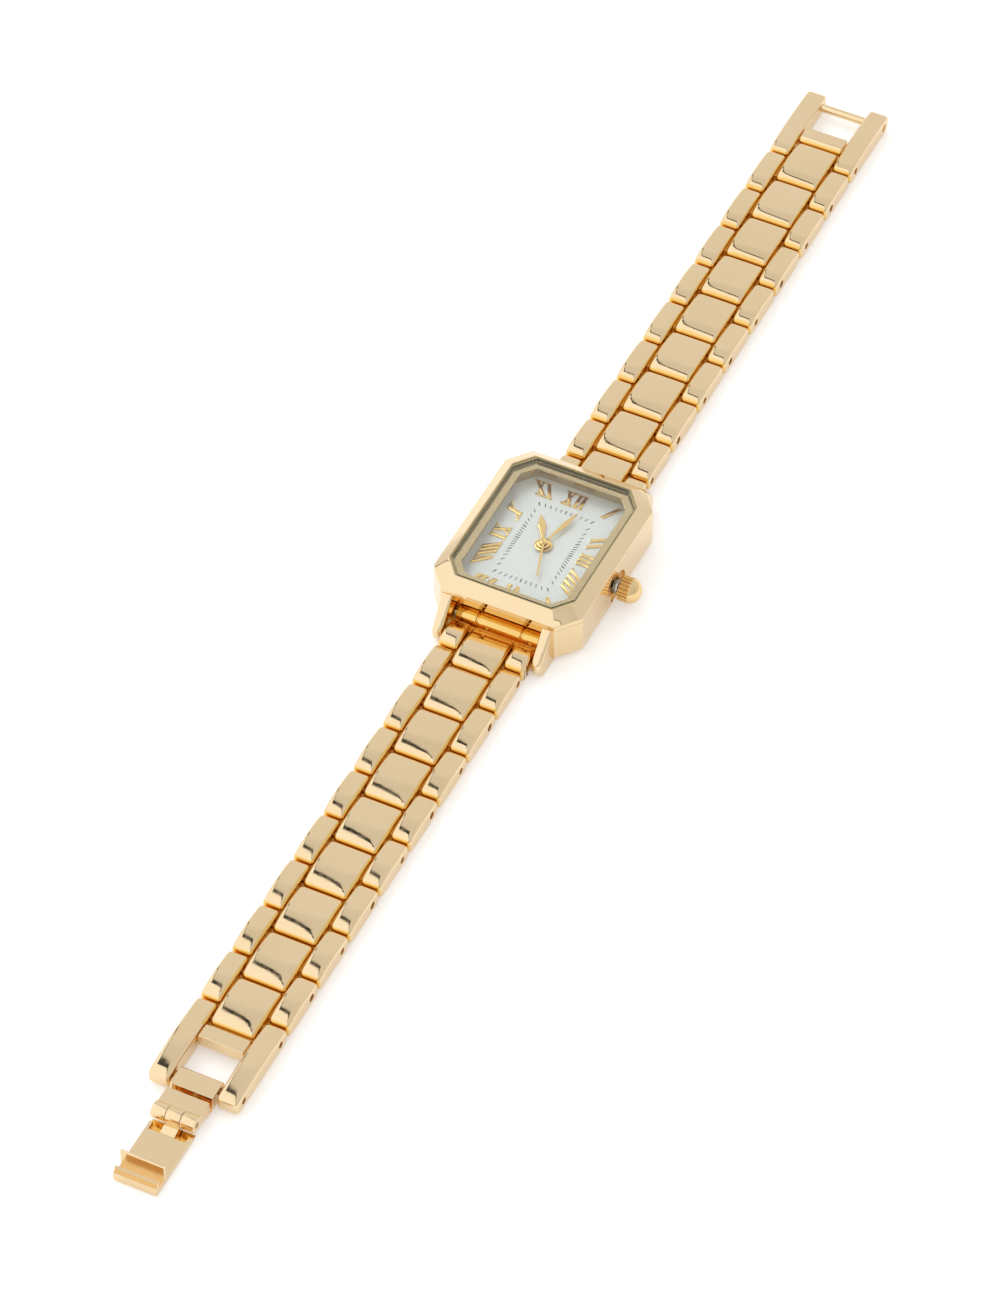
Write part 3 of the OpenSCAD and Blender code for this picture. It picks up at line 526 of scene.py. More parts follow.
    def box(self, name: str, low: Sequence[float], high: Sequence[float]) -> Piece:
        """Adds a block between two corners given in millimetres.

        Args:
            name: Name of the piece.
            low: Lowest corner.
            high: Highest corner.

        Returns:
            The new piece.
        """
        self.clear()
        centre = [(a + b) / 2 * MM for a, b in zip(low, high)]
        bpy.ops.mesh.primitive_cube_add(size=1, location=centre,
                                        scale=[(b - a) * MM for a, b in zip(low, high)])
        return self.settled(name)

    def rod(self, name: str, axis: Axis, start: Sequence[float], length: float, radius: float,
            sides: int = 48) -> Piece:
        """Adds a round rod, with all sizes in millimetres.

        Args:
            name: Name of the piece.
            axis: Direction it runs in, X or Z.
            start: Middle of its near end.
            length: Length.
            radius: Radius.
            sides: Number of flats round it.

        Returns:
            The new piece.
        """
        self.clear()
        centre = [place + length / 2 * part for place, part in zip(start, axis.direction)]
        bpy.ops.mesh.primitive_cylinder_add(vertices=sides, radius=radius * MM, depth=length * MM,
                                            location=[place * MM for place in centre],
                                            rotation=(0, math.pi / 2 if axis is Axis.X else 0, 0))
        return self.settled(name)

    def round_edges(self, piece: Piece, test: Test, radius_mm: float, segments: int) -> None:
        """Rounds only the edges whose two ends pass a test.

        Args:
            piece: Piece whose edges are rounded.
            test: Says for the two ends of an edge, in millimetres, whether it is taken.
            radius_mm: Radius of the rounding.
            segments: Number of steps in it.
        """
        with self.editing(piece):
            bpy.ops.mesh.select_mode(type="EDGE")
            bpy.ops.mesh.select_all(action="DESELECT")
        mesh = piece.data
        for edge in mesh.edges:
            edge.select = test(*(mesh.vertices[i].co / MM for i in edge.vertices))
        bpy.ops.object.mode_set(mode="EDIT")
        bpy.ops.mesh.bevel(offset=radius_mm * MM, segments=segments, profile=0.5, clamp_overlap=False)
        bpy.ops.object.mode_set(mode="OBJECT")

    def slice(self, piece: Piece, axis: Axis, places: Iterable[float]) -> None:
        """Cuts a piece's faces, without parting it, by planes square to an axis.

        Args:
            piece: Piece that is cut.
            axis: Axis that the planes are square to.
            places: Where the planes cross the axis, in millimetres.
        """
        for place in places:
            with self.editing(piece):
                bpy.ops.mesh.bisect(plane_co=axis.direction * (place * MM), plane_no=axis.direction)

    def join(self, name: str, pieces: Sequence[Piece]) -> Piece:
        """Joins pieces into one object of several shells."""
        self.activate(*pieces)
        bpy.ops.object.join()
        joined = bpy.context.object
        joined.name = name
        return joined

    def cut(self, piece: Piece, cutter: Piece) -> None:
        """Takes the shape of a cutter out of a piece and throws the cutter away."""
        self.apply(piece, "BOOLEAN", operation="DIFFERENCE", solver="EXACT", object=cutter)
        bpy.data.objects.remove(cutter)

    def drill(self, piece: Piece, holes: Iterable[Place], half_mm: float = 12.0,
              sides: int = 40) -> None:
        """Drills holes across a piece from side to side.

        Args:
            piece: Piece that is drilled.
            holes: Each hole's distance from the case, its height and its radius.
            half_mm: Half the length of the drill.
            sides: Number of flats round the drill.
        """
        for place, height, radius in holes:
            start = (-half_mm, place, height)
            self.cut(piece, self.rod("drill", Axis.X, start, 2 * half_mm, radius, sides))


@dataclass
class Studio:
    """Camera, pale floor, backdrop and soft light. Angles and distance come from the fitted camera."""

    azimuth_deg: float = 26.145
    elevation_deg: float = 47.709
    distance_mm: float = 704.4
    lens_mm: float = 179.1
    clip_m: tuple[float, float] = (0.01, 50.0)
    target_mm: Place = (1.44, -13.10, 1.65)
    floor_mm: float = 6000.0
    floor_colour: str = "#F7F6F5"
    floor_glow: float = 0.3
    # Share of the floor's glow that polished metal sees
    floor_in_metal: float = 0.75
    # The panel's border: the slope it is measured along, its place there and how ragged it is
    border_slope: Place = (-1.5, -1.0, 1.0)
    border_at: float = 0.99
    ragged_scale: float = 60.0
    ragged_size: float = 0.07
    panel_level: float = 1.15
    # The dark frame below the border: where it begins, is full and ends, and the light left there
    frame_at: Place = (0.065, 0.052, 0.004)
    frame_level: float = 0.04
    # Levels of the walls, by how far a direction of the sky points up and towards the six
    wall_slope: Place = (0.0, -1.0, 1.0)
    wall_steps: Steps = ((-1.3, 0.97), (-0.6, 0.88), (0.0, 0.86), (0.27, 0.86), (0.36, 0.77), (1.4, 0.8))
    # Levels of the walls, by how far it points towards the crown
    side_slope: Place = (1.0, 0.0, 0.0)
    side_steps: Steps = ((-1.0, 1.0), (0.3, 1.0), (0.7, 0.95), (1.0, 0.88))
    # Gold turns deep orange only where light is thrown back and forth several times
    glossy_bounces: int = 8
    lamp_at: Place = (-0.55, 0.35, 0.9)
    lamp_size: float = 0.5
    lamp_power: float = 1.3

    def build(self) -> None:
        """Makes the camera, the floor, the world and the lamps."""
        self.camera()
        self.floor()
        self.world()
        self.lamps()

    def camera(self) -> None:
        """Places the camera at the photograph's viewing angle."""
        az, el = math.radians(self.azimuth_deg), math.radians(self.elevation_deg)
        back = Vector((math.sin(az) * math.cos(el), -math.cos(az) * math.cos(el), math.sin(el)))
        data = bpy.data.cameras.new("camera")
        data.lens = self.lens_mm
        data.clip_start, data.clip_end = self.clip_m
        camera = bpy.data.objects.new("camera", data)
        bpy.context.scene.collection.objects.link(camera)
        camera.location = Vector(self.target_mm) * MM + back * self.distance_mm * MM
        camera.rotation_mode = "QUATERNION"
        camera.rotation_quaternion = (-back).to_track_quat("-Z", "Y")
        bpy.context.scene.camera = camera

    def floor(self) -> None:
        """Lays a wide pale sheet under the watch that turns to pure white away from shadows."""
        bpy.ops.object.select_all(action="DESELECT")
        bpy.ops.mesh.primitive_plane_add(size=self.floor_mm * MM, location=(0, 0, 0))
        sheet = bpy.context.object
        sheet.name = "floor"
        material, tree = new_material("white_paper_floor")
        rays = add_node(tree, "ShaderNodeLightPath").outputs
        paper = add_node(tree, "ShaderNodeBsdfDiffuse", {"Color": linear(self.floor_colour)})
        mirrored = add_node(tree, "ShaderNodeMath", {0: rays["Is Glossy Ray"], 1: self.floor_in_metal},
                            operation="MULTIPLY")
        seen = add_node(tree, "ShaderNodeMath", {0: rays["Is Camera Ray"], 1: mirrored},
                        operation="MAXIMUM")
        clear = add_node(tree, "ShaderNodeMath", {0: seen, 1: rays["Is Transmission Ray"]},
                         operation="MAXIMUM")
        glow = add_node(tree, "ShaderNodeEmission",
                        {"Strength": clear, "Color": (*[self.floor_glow] * 3, 1.0)})
        both = add_node(tree, "ShaderNodeAddShader", {0: paper, 1: glow})
        add_node(tree, "ShaderNodeOutputMaterial", {"Surface": both})
        sheet.data.materials.append(material)

    def world(self) -> None:
        """Lights the watch from a pale room with a soft ceiling panel, seen in its polished faces.

        The panel fills the top and the near side of the sky. Its far border is slanted, slightly ragged and
        edged by a thin dark frame, and the walls below it are a little darker than the panel.
        """
        world = bpy.data.worlds.new("studio")
        bpy.context.scene.world = world
        world.use_nodes = True
        tree = world.node_tree
        tree.nodes.clear()
        place = add_node(tree, "ShaderNodeTexCoord").outputs["Generated"]
        ragged = add_node(tree, "ShaderNodeTexNoise",
                          {"Vector": place, "Scale": self.ragged_scale, "Detail": 2.0})
        jag = add_node(tree, "ShaderNodeMath", {0: ragged, 1: self.ragged_size}, operation="MULTIPLY")
        border, up, aside = (
            add_node(tree, "ShaderNodeVectorMath", {0: place, 1: slope},
                     operation="DOT_PRODUCT").outputs["Value"]
            for slope in (self.border_slope, self.wall_slope, self.side_slope))
        across = add_node(tree, "ShaderNodeMath", {0: border, 1: jag}, operation="ADD")
        shaded = add_node(tree, "ShaderNodeMath", {0: self.grade(tree, up, self.wall_steps),
                                                   1: self.grade(tree, aside, self.side_steps)},
                          operation="MULTIPLY")
        edge = self.border_at + self.ragged_size / 2
        begin, full, end = (edge - below for below in self.frame_at)
        panel = add_node(tree, "ShaderNodeMapRange",
                         {"Value": across, "From Min": end, "From Max": edge})
        sky = add_node(tree, "ShaderNodeMix", {0: panel, 2: shaded, 3: self.panel_level},
                       data_type="FLOAT")
        frame = self.grade(tree, across, ((begin, 1.0), (full, self.frame_level),
                                          (end, self.frame_level), (edge, 1.0)))
        level = add_node(tree, "ShaderNodeMath", {0: sky, 1: frame}, operation="MULTIPLY")
        rays = add_node(tree, "ShaderNodeLightPath").outputs
        room = add_node(tree, "ShaderNodeBackground", {"Color": level})
        plain = add_node(tree, "ShaderNodeBackground", {"Color": (1, 1, 1, 1)})
        seen = add_node(tree, "ShaderNodeMath",
                        {0: rays["Is Camera Ray"], 1: rays["Is Transmission Ray"]}, operation="MAXIMUM")
        mixed = add_node(tree, "ShaderNodeMixShader", {0: seen, 1: room, 2: plain})
        add_node(tree, "ShaderNodeOutputWorld", {"Surface": mixed})
        bpy.context.scene.view_settings.view_transform = "Standard"
        bpy.context.scene.cycles.glossy_bounces = self.glossy_bounces

    @staticmethod
    def grade(tree: Tree, value: Socket | Node, steps: Steps) -> Node:
        """Turns a value into a level by straight steps between given places.

        Args:
            tree: Tree that the nodes go into.
            value: Socket or node that is graded.
            steps: Rising places, each with the level there.

        Returns:
            The node whose first output is the level.
        """
        start, end = steps[0][0], steps[-1][0]
        share = add_node(tree, "ShaderNodeMapRange", {"Value": value, "From Min": start, "From Max": end})
        graded = add_node(tree, "ShaderNodeValToRGB", {"Fac": share})
        elements = graded.color_ramp.elements
        for element, (_, level) in zip(elements, (steps[0], steps[-1])):
            element.color = (level, level, level, 1.0)
        for place, level in steps[1:-1]:
            elements.new((place - start) / (end - start)).color = (level, level, level, 1.0)
        return graded

    def lamps(self) -> None:
        """Adds one large soft lamp from the upper left, which gives the faint shadow to the right."""
        data = bpy.data.lights.new("soft_key", "AREA")
        data.shape = "DISK"
        data.size = self.lamp_size
        data.energy = self.lamp_power
        lamp = bpy.data.objects.new("soft_key", data)
        bpy.context.scene.collection.objects.link(lamp)
        lamp.location = self.lamp_at
        lamp.rotation_mode = "QUATERNION"
        lamp.rotation_quaternion = lamp.location.to_track_quat("Z", "Y")
        lamp.visible_glossy = False


@dataclass
class Assembly:
    """A sub-assembly of the watch, with what it is made on and finished with."""

    bench: Bench
    finishes: Finishes

    def build(self) -> None:
        """Makes or dresses all of its pieces."""
        raise NotImplementedError


@dataclass
class Case(Assembly):
    """Case body, bezel, crystal, gasket, flange ring, back, lug bars and crown tube."""

    edge_mm: float = 0.09
    flat_deg: float = 0.5
    # Inner and outer side of the lugs, where they leave the case, and the floor of their rounding
    lug_sides_mm: Span = (5.44, 6.64)
    lug_start_mm: float = 11.64
    lug_foot_mm: float = 0.5
    lug_round_mm: float = 0.56
    lug_steps: int = 6
    # Edges of these lengths are the lug's end chamfers and stay sharp
    lug_ends_mm: Span = (0.3, 1.0)
    lug_play_mm: Span = (0.01, 0.05)
    # The case's end wall between the lugs
    wall_mm: float = 8.6
    rim_under_mm: float = 5.97
    rim_play_mm: float = 0.1

    def build(self) -> None:
        """Dresses every piece of the case."""
        finishes, bench = self.finishes, self.bench
        self.body()
        bench.dress_node("bezel", finishes.case_gold, "gold", 0.18, 5)
        self.flange()
        bench.dress_node("crystal", finishes.crystal, "crystal", 0.06, 2)
        bench.dress_node("crystal_gasket", finishes.gasket, "gasket", 0.03, 2)
        bench.dress_node("case_back", finishes.gold, "gold", 0.05)
        bench.dress_node("crown_tube", finishes.steel, "steel", 0.05)
        bench.dress_node("spring_bars", finishes.steel, "steel", 0.05)

    def body(self) -> None:
        """Rounds the lugs more than the other edges of the case body, as buffing does."""
        bench = self.bench
        body = bench.copy_node("case_body")
        with bench.editing(body):
            bpy.ops.mesh.dissolve_limited(angle_limit=math.radians(self.flat_deg))
        bench.round_edges(body, self.on_lug_edge, self.lug_round_mm, self.lug_steps)
        bench.soften(body, self.edge_mm)
        bench.hand_over(body, self.finishes.case_gold, "gold", "case_body")
        between = self.lug_sides_mm[0] + self.lug_play_mm[1]
        # Painted reflection: the end wall between the lugs, over the barrels, takes the deeper gold
        bench.refinish(body, self.finishes.painted_bounce_gold,
                       lambda at, normal: abs(at.x) < between and abs(at.y) > self.wall_mm)

    def on_lug_edge(self, a: Vector, b: Vector) -> bool:
        """Says whether an edge runs along the top of a lug, on either side of it.

        Args:
            a: One end of the edge, in millimetres.
            b: Its other end.

        Returns:
            Whether the edge gets the lugs' large rounding.
        """
        shortest, longest = self.lug_ends_mm
        if shortest < (a - b).length < longest:
            return False
        beside = any(max(abs(abs(a.x) - side), abs(abs(b.x) - side)) < self.lug_play_mm[0]
                     for side in self.lug_sides_mm)
        return beside and min(abs(a.y), abs(b.y)) > self.lug_start_mm and min(a.z, b.z) > self.lug_foot_mm

    def flange(self) -> None:
        """Dresses the flange ring, with painted shade as a dark brown on its rim's underside."""
        ring = self.bench.dress_node("flange_ring", self.finishes.flange, "gold", 0.03, 2)
        self.bench.refinish(ring, self.finishes.shade, lambda at, normal: (
            normal.z < -STEEP and abs(at.z - self.rim_under_mm) < self.rim_play_mm))


@dataclass
class Dial(Assembly):
    """Dial plate with its printed minute track and applied numerals."""

    track_half_mm: Span = (3.25, 5.7)
    tick_mm: Span = (0.11, 0.52)
    print_mm: float = 0.012
    corner_share: float = 0.2
    minutes: int = 60
    bold: float = 1.5

    def build(self) -> None:
        """Dresses the plate and the numerals and prints the track."""
        self.bench.dress_node("dial", self.finishes.dial, "dial", 0.02, 2)
        self.bench.dress_node("hour_markers", self.finishes.applied, "applied_gold", 0.022, 2)
        self.minute_track()

    def minute_track(self) -> None:
        """Prints sixty radial dashes on a rectangle round the middle, the fifth ones bolder."""
        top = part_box("dial")[1].z / MM
        half_x, half_y = self.track_half_mm
        width, length = self.tick_mm
        master = self.bench.box("dash", (-width / 2, -length / 2, top - self.print_mm),
                                (width / 2, length / 2, top + self.print_mm))
        self.bench.apply(master, "BEVEL", width=width * self.corner_share * MM, segments=2,
                         limit_method="ANGLE")
        dashes = []
        for minute in range(self.minutes):
            angle = 2 * math.pi * minute / self.minutes
            away = Vector((math.sin(angle), math.cos(angle), 0.0))
            reach = min(half_x / max(abs(away.x), 1e-6), half_y / max(abs(away.y), 1e-6))
            wider = Matrix.Diagonal((self.bold if minute % 5 == 0 else 1.0, 1.0, 1.0, 1.0))
            dash = self.bench.duplicate(master, f"dash_{minute}")
            dash.data.transform(Matrix.Translation(away * reach * MM) @ Matrix.Rotation(-angle, 4, "Z")
                                @ wider)
            dashes.append(dash)
        bpy.data.objects.remove(master)
        track = self.bench.join("minute_track", dashes)
        self.bench.hand_over(track, self.finishes.ink, "dial", "dial", replaced=False)


@dataclass
class HandShape:
    """One hand, in millimetres: its hub ring, its blade and the angle it points at."""

    name: str
    hub: Span
    length: float
    widest: float
    root: float
    belly: float
    angle_deg: float


@dataclass
class Hands(Assembly):
    """Three hands with raised hubs, and the wheels that carry them."""

    shapes: tuple[HandShape, ...] = (HandShape("hour", (1.0, 0.75), 4.5, 0.95, 0.34, 0.6, 331),
                                     HandShape("minute", (0.75, 0.42), 5.9, 0.62, 0.24, 0.62, 14),
                                     HandShape("seconds", (0.42, 0.14), 5.2, 0.3, 0.3, 0.1, 162))
    # Width of a leaf's tip, the curves before and after its belly, and the taper of a straight blade
    tip: float = 0.05
    rise: float = 1.5
    fall: float = 0.85
    taper: float = 0.45

    def build(self) -> None:
        """Makes the hands and dresses their wheels."""
        for shape in self.shapes:
            self.hand(shape)
        for wheel in ("hour_wheel", "cannon_pinion", "seconds_arbor"):
            self.bench.dress_node(wheel, self.finishes.brass, "wheel_brass", 0.02, 2)

    def hand(self, shape: HandShape) -> None:
        """Stamps one hand: a flat ring with a leaf that is widest beyond its middle."""
        bench = self.bench
        node = f"{shape.name}_hand"
        low, high = (corner.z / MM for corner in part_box(node))
        thick, (outer, inner) = high - low, shape.hub
        ring = bench.rod(f"{node}_hub", Axis.Z, (0, 0, low), thick, outer, 64)
        bench.cut(ring, bench.rod("bore", Axis.Z, (0, 0, low - 1), thick + 2, inner, 64))
        root_y = (outer + inner) / 2
        bench.clear()
        bpy.ops.mesh.primitive_grid_add(x_subdivisions=4, y_subdivisions=28, size=1, location=(0, 0, 0))
        blade = bpy.context.object
        for vertex in blade.data.vertices:
            share = vertex.co.y + 0.5
            reach = root_y + share * (shape.length - root_y)
            vertex.co = Vector((vertex.co.x * self.width_at(shape, share), reach, high)) * MM
        bench.apply(blade, "SOLIDIFY", thickness=thick * MM, offset=-1.0)
        with bench.editing(blade):
            bpy.ops.mesh.normals_make_consistent(inside=False)
        hand = bench.join(node + "_dressed", [ring, blade])
        hand.data.transform(Matrix.Rotation(-math.radians(shape.angle_deg), 4, "Z"))
        bench.soften(hand, 0.03, 2, 50)
        bench.hand_over(hand, self.finishes.applied, "applied_gold", node)

    def width_at(self, shape: HandShape, share: float) -> float:
        """Gives the width of a blade at a place along it.

        Args:
            shape: Shape of the hand.
            share: Share of the blade's length from its root.

        Returns:
            The width in millimetres.
        """
        if share < shape.belly:
            return shape.root + (shape.widest - shape.root) * (share / shape.belly) ** self.rise
        if shape.root == shape.widest:
            return shape.widest * (1 - self.taper * share)
        left = 1 - (share - shape.belly) / (1 - shape.belly)
        return self.tip + (shape.widest - self.tip) * left ** self.fall


@dataclass
class Works(Assembly):
    """Movement and the parts that turn the crown's motion into the hands'."""

    def build(self) -> None:
        """Dresses the inner pieces."""
        finishes = self.finishes
        for node, finish, slot, width_mm, segments in (
                ("movement_plate", finishes.steel, "steel", 0.05, 2),
                ("movement_ring", finishes.spacer, "spacer", 0.05, 2),
                ("battery", finishes.steel, "steel", 0.1, 3),
                ("coil", finishes.copper, "copper", 0.05, 2),
                ("back_gasket", finishes.rubber, "gasket", 0.03, 2),
                ("setting_lever", finishes.steel, "steel", 0.03, 2),
                ("crown_stem", finishes.steel, "steel", 0.03, 2),
                ("crown", finishes.crown, "gold", 0.05, 2)):
            self.bench.dress_node(node, finish, slot, width_mm, segments)


@dataclass
class PadShape:
    """Rounding and swelling shared by all pads of the bracelet, in millimetres."""

    end_r: float = 0.8
    top_r: float = 0.55
    rise: float = 0.35
    apex: float = 0.3
    crown_r: float = 100.0
    shoulder: float = 0.036
    rim: float = 0.42
    rim_play: float = 0.12
    rim_steps: int = 5
    end_steps: int = 8
    cuts_along: int = 14
    cuts_across: int = 10
    # An upright edge longer than this is a cut, not part of a pad's outline
    upright: float = 0.9


@dataclass
class Bracelet(Assembly):
    """End links, links and end frames: each shape is modelled once, then copied along both halves."""

    shape: PadShape = field(default_factory=PadShape)
    pitch: float = 7.0
    first_seam: float = 18.2
    half_w: float = 5.24
    half_c: float = 2.62
    slit: float = 0.16
    seam: float = 0.24
    lead: float = 2.8
    first_lead: float = 2.1
    pin_back: float = 1.1
    pin_r: float = 0.4
    pin_play: float = 0.05
    catch_r: float = 0.5
    bar_place: float = 10.4
    bar_hole_r: float = 0.75
    barrel_r: float = 1.15
    under: float = 0.2
    top: float = 2.6
    hinge_z: float = 1.4
    links: int = 8
    frame_pin: float = 81.3
    frame_end: float = 82.8
    cross_end: float = 76.5
    cross_top: float = 2.4
    cross_t: float = 1.5
    edge: float = 0.09
    smooth_deg: float = 40.0
    # Faces take the painted reflection, a deeper gold, nearer to the case than clear_from and nearer to the
    # middle than outside_from, where they are steep enough to look at another, and on the barrels
    clear_from: float = 74.9
    outside_from: float = 4.64
    slit_steep: float = 0.5
    seam_steep: float = 0.6
    barrels_to: float = 11.85
    # How far the bars under the slits stand back from the sides and ends of their pads, and their heights
    core_inset: float = 1.0
    core_back: float = 0.8
    core_heights: Span = (0.6, 1.6)
    core_edge: float = 0.1
    web_inset: float = 0.5
    web_heights: Span = (0.3, 1.9)
    # Gap between the barrels and the pads of an end link, and the barrels' rounding and waist
    barrel_gap: float = 0.45
    barrel_edge: float = 0.14
    barrel_waist: float = 0.2
    barrel_deg: float = 50.0

    @property
    def outer_spans(self) -> tuple[Span, Span]:
        """Left and right side of each of the two outer pads."""
        inner = self.half_c + self.slit
        return (-self.half_w, -inner), (inner, self.half_w)

    def build(self) -> None:
        """Builds the masters, copies them to their places and dresses the pins."""
        end = self.end_master()
        links = {k: self.link_master(k) for k in (1, 3, 2)}
        for side in Side:
            turned = side is Side.SIX
            self.place(end, f"end_link_{side.value}", 0.0, turned)
            for k in range(1, self.links + 1):
                home = 1 if k == 1 else 2 + k % 2
                self.place(links[home], f"link_{side.value}_{k}", (k - home) * self.pitch, turned)
            frame = self.frame_master(self.pin_r if turned else self.catch_r)
            self.place(frame, f"end_frame_{side.value}", 0.0, turned)
            bpy.data.objects.remove(frame)
            for k in range(1, self.links + 2, 2):
                self.bench.dress_node(f"pins_{side.value}_{k}", self.finishes.pin, "steel", 0.06, 2)
        for master in (end, *links.values()):
            bpy.data.objects.remove(master)

    def place(self, master: Piece, node: str, along_mm: float, turned: bool) -> None:
        """Copies a master to its place, where it stands for one node.

        Args:
            master: Shape on the twelve o'clock side.
            node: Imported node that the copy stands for.
            along_mm: How far the copy moves away from the case.
            turned: Whether it is turned round to the six o'clock side.
        """
        piece = self.bench.duplicate(master, f"{node}_dressed", along_mm, turned)
        self.bench.hand_over(piece, self.finishes.gold, "gold", node)
        # Painted reflection: slits, seams and barrels take the deeper gold
        self.bench.refinish(piece, self.finishes.painted_bounce_gold, self.takes_painted_bounce)

    def takes_painted_bounce(self, at: Vector, normal: Vector) -> bool:
        """Says whether a face takes the painted reflection: in a slit or a seam, or on a barrel between the
        lugs.

        Args:
            at: Middle of the face, in millimetres.
            normal: Its normal.

        Returns:
            Whether it looks at another face nearby, and so takes the painted reflection.
        """
        if abs(at.y) > self.clear_from:
            return False
        in_slit = abs(normal.x) > self.slit_steep and abs(at.x) < self.outside_from
        return in_slit or abs(normal.y) > self.seam_steep or abs(at.y) < self.barrels_to

    def seam_at(self, k: int) -> float:
        """Distance from the case of the seam before the centre pad of link k."""
        return self.first_seam + (k - 1) * self.pitch

    def pad(self, name: str, x0: float, x1: float, s0: float, s1: float) -> Piece:
        """Models one pad: rounded ends and rims, and a top that swells along its length and across it.

        Args:
            name: Name of the pad.
            x0: Left side.
            x1: Right side.
            s0: End nearer to the case, along the bracelet.
            s1: Far end.

        Returns:
            The pad, on the twelve o'clock side.
        """
        shape, bench = self.shape, self.bench
        flat_top = self.top - shape.rise
        pad = bench.box(name, (x0, s0, self.under), (x1, s1, flat_top))
        # The underside is rounder than the top, because the links fold downwards round a wrist
        for radius, level in ((shape.end_r, self.under), (shape.top_r, flat_top)):
            bench.round_edges(pad, lambda a, b: (
                abs(a.y - b.y) + abs(a.z - level) + abs(b.z - level) < TOUCH_MM), radius, shape.end_steps)
        inner, count = s1 - s0 - 2 * shape.top_r, shape.cuts_along
        bench.slice(pad, Axis.Y, [s0 + shape.top_r + inner * i / count for i in range(1, count)])
        margin, count = shape.rim + shape.rim_play, shape.cuts_across
        inner = x1 - x0 - 2 * margin
        bench.slice(pad, Axis.X, [x0 + margin + inner * i / count for i in range(count + 1)])
        middle_s, half_s = (s0 + s1) / 2, (s1 - s0) / 2
        middle_x, half_x = (x0 + x1) / 2, (x1 - x0) / 2
        low_z = (self.under + flat_top) / 2
        for vertex in pad.data.vertices:
            x, s, z = vertex.co / MM
            if z > low_z:
                away = s - middle_s + shape.apex
                reach = half_s + math.copysign(shape.apex, away)
                swell = shape.rise * (1 - (away / reach) ** 2)
                # Only the side that ends up towards the crown on the six o'clock half is buffed rounder
                aside = min(0.0, (x - middle_x) / half_x)
                fall = (x - middle_x) ** 2 / (2 * shape.crown_r) + shape.shoulder * half_x * aside ** 6
                vertex.co.z = (z + (z - low_z) / (flat_top - low_z) * (swell - fall)) * MM
        bench.round_edges(pad, lambda a, b: self.on_rim(a, b, x0, x1), shape.rim, shape.rim_steps)
        return pad

    def on_rim(self, a: Vector, b: Vector, *sides: float) -> bool:
        """Says whether an edge lies on the outline of one of the pad's flat sides, and isn't a cut."""
        is_cut = abs(a.y - b.y) < TOUCH_MM and abs(a.z - b.z) > self.shape.upright
        return not is_cut and any(max(abs(a.x - side), abs(b.x - side)) < TOUCH_MM for side in sides)

    def trio(self, name: str, centre: Span, outer: Span) -> Piece:
        """Models a centre pad and the two outer pads beside it.

        Args:
            name: Name of the three pads together.
            centre: Start and end of the centre pad along the bracelet.
            outer: Start and end of the outer pads.

        Returns:
            The three pads, joined.
        """
        pads = [self.pad(f"{name}_centre", -self.half_c, self.half_c, *centre)]
        pads += [self.pad(f"{name}_outer", *span, *outer) for span in self.outer_spans]
        return self.bench.join(name, pads)

    def core(self, inset: float, along: Span, heights: Span) -> Piece:
        """Models the bar under the slits that holds the pads together, with broken edges.

        Args:
            inset: How far it stands back from the bracelet's sides.
            along: Its start and end along the bracelet.
            heights: Its bottom and top.

        Returns:
            The bar, on the twelve o'clock side.
        """
        half = self.half_w - inset
        core = self.bench.box("core", *zip((-half, half), along, heights))
        self.bench.apply(core, "BEVEL", width=self.core_edge * MM, segments=2, limit_method="ANGLE")
        return core

    def link_master(self, k: int) -> Piece:
        """Models a link with the holes of its two pins.

        Args:
            k: Number of the link, counted from the case.

        Returns:
            The link, on the twelve o'clock side.
        """
        lead = self.first_lead if k == 1 else self.lead
        near, far = self.seam_at(k), self.seam_at(k + 1)
        gap = self.seam / 2
        link = self.trio(f"link_master_{k}", (near + gap, far - gap),
                         (near - lead + gap, far - self.lead - gap))
        hole = self.pin_r if k % 2 else self.pin_r + self.pin_play
        self.bench.drill(link, [(near - self.pin_back, self.hinge_z, hole),
                                (far - self.pin_back, self.hinge_z, hole)])
        along = near + self.core_back, far - self.lead - self.core_back
        core = self.core(self.core_inset, along, self.core_heights)
        link = self.bench.join(f"link_master_{k}", [link, core])
        self.bench.smooth(link, self.smooth_deg)
        return link

    def end_master(self) -> Piece:
        """Models an end link, with its three barrels round the spring bar."""
        bench, start = self.bench, self.bar_place + self.barrel_r + self.barrel_gap
        seam = self.seam_at(1) - self.seam / 2
        pads = self.trio("end_master", (start, seam), (start, seam - self.first_lead))
        parts = [pads]
        at = self.bar_place, self.hinge_z
        for x0, x1 in ((-self.half_c, self.half_c), *self.outer_spans):
            barrel = bench.rod("barrel", Axis.X, (x0, *at), x1 - x0, self.barrel_r, 64)
            bench.apply(barrel, "BEVEL", width=self.barrel_edge * MM, segments=4, limit_method="ANGLE",
                        angle_limit=math.radians(self.barrel_deg))
            parts.append(barrel)
        half = self.half_w - self.web_inset
        parts += [bench.rod("waist", Axis.X, (-half, *at), 2 * half, self.barrel_r - self.barrel_waist, 64),
                  self.core(self.web_inset, (self.bar_place, start + 1), self.web_heights)]
        for part in parts:
            bench.drill(part, [(*at, self.bar_hole_r)])
        bench.drill(pads, [(self.seam_at(1) - self.pin_back, self.hinge_z, self.pin_r + self.pin_play)])
        link = bench.join("end_master", parts)
        bench.smooth(link, self.smooth_deg)
        return link

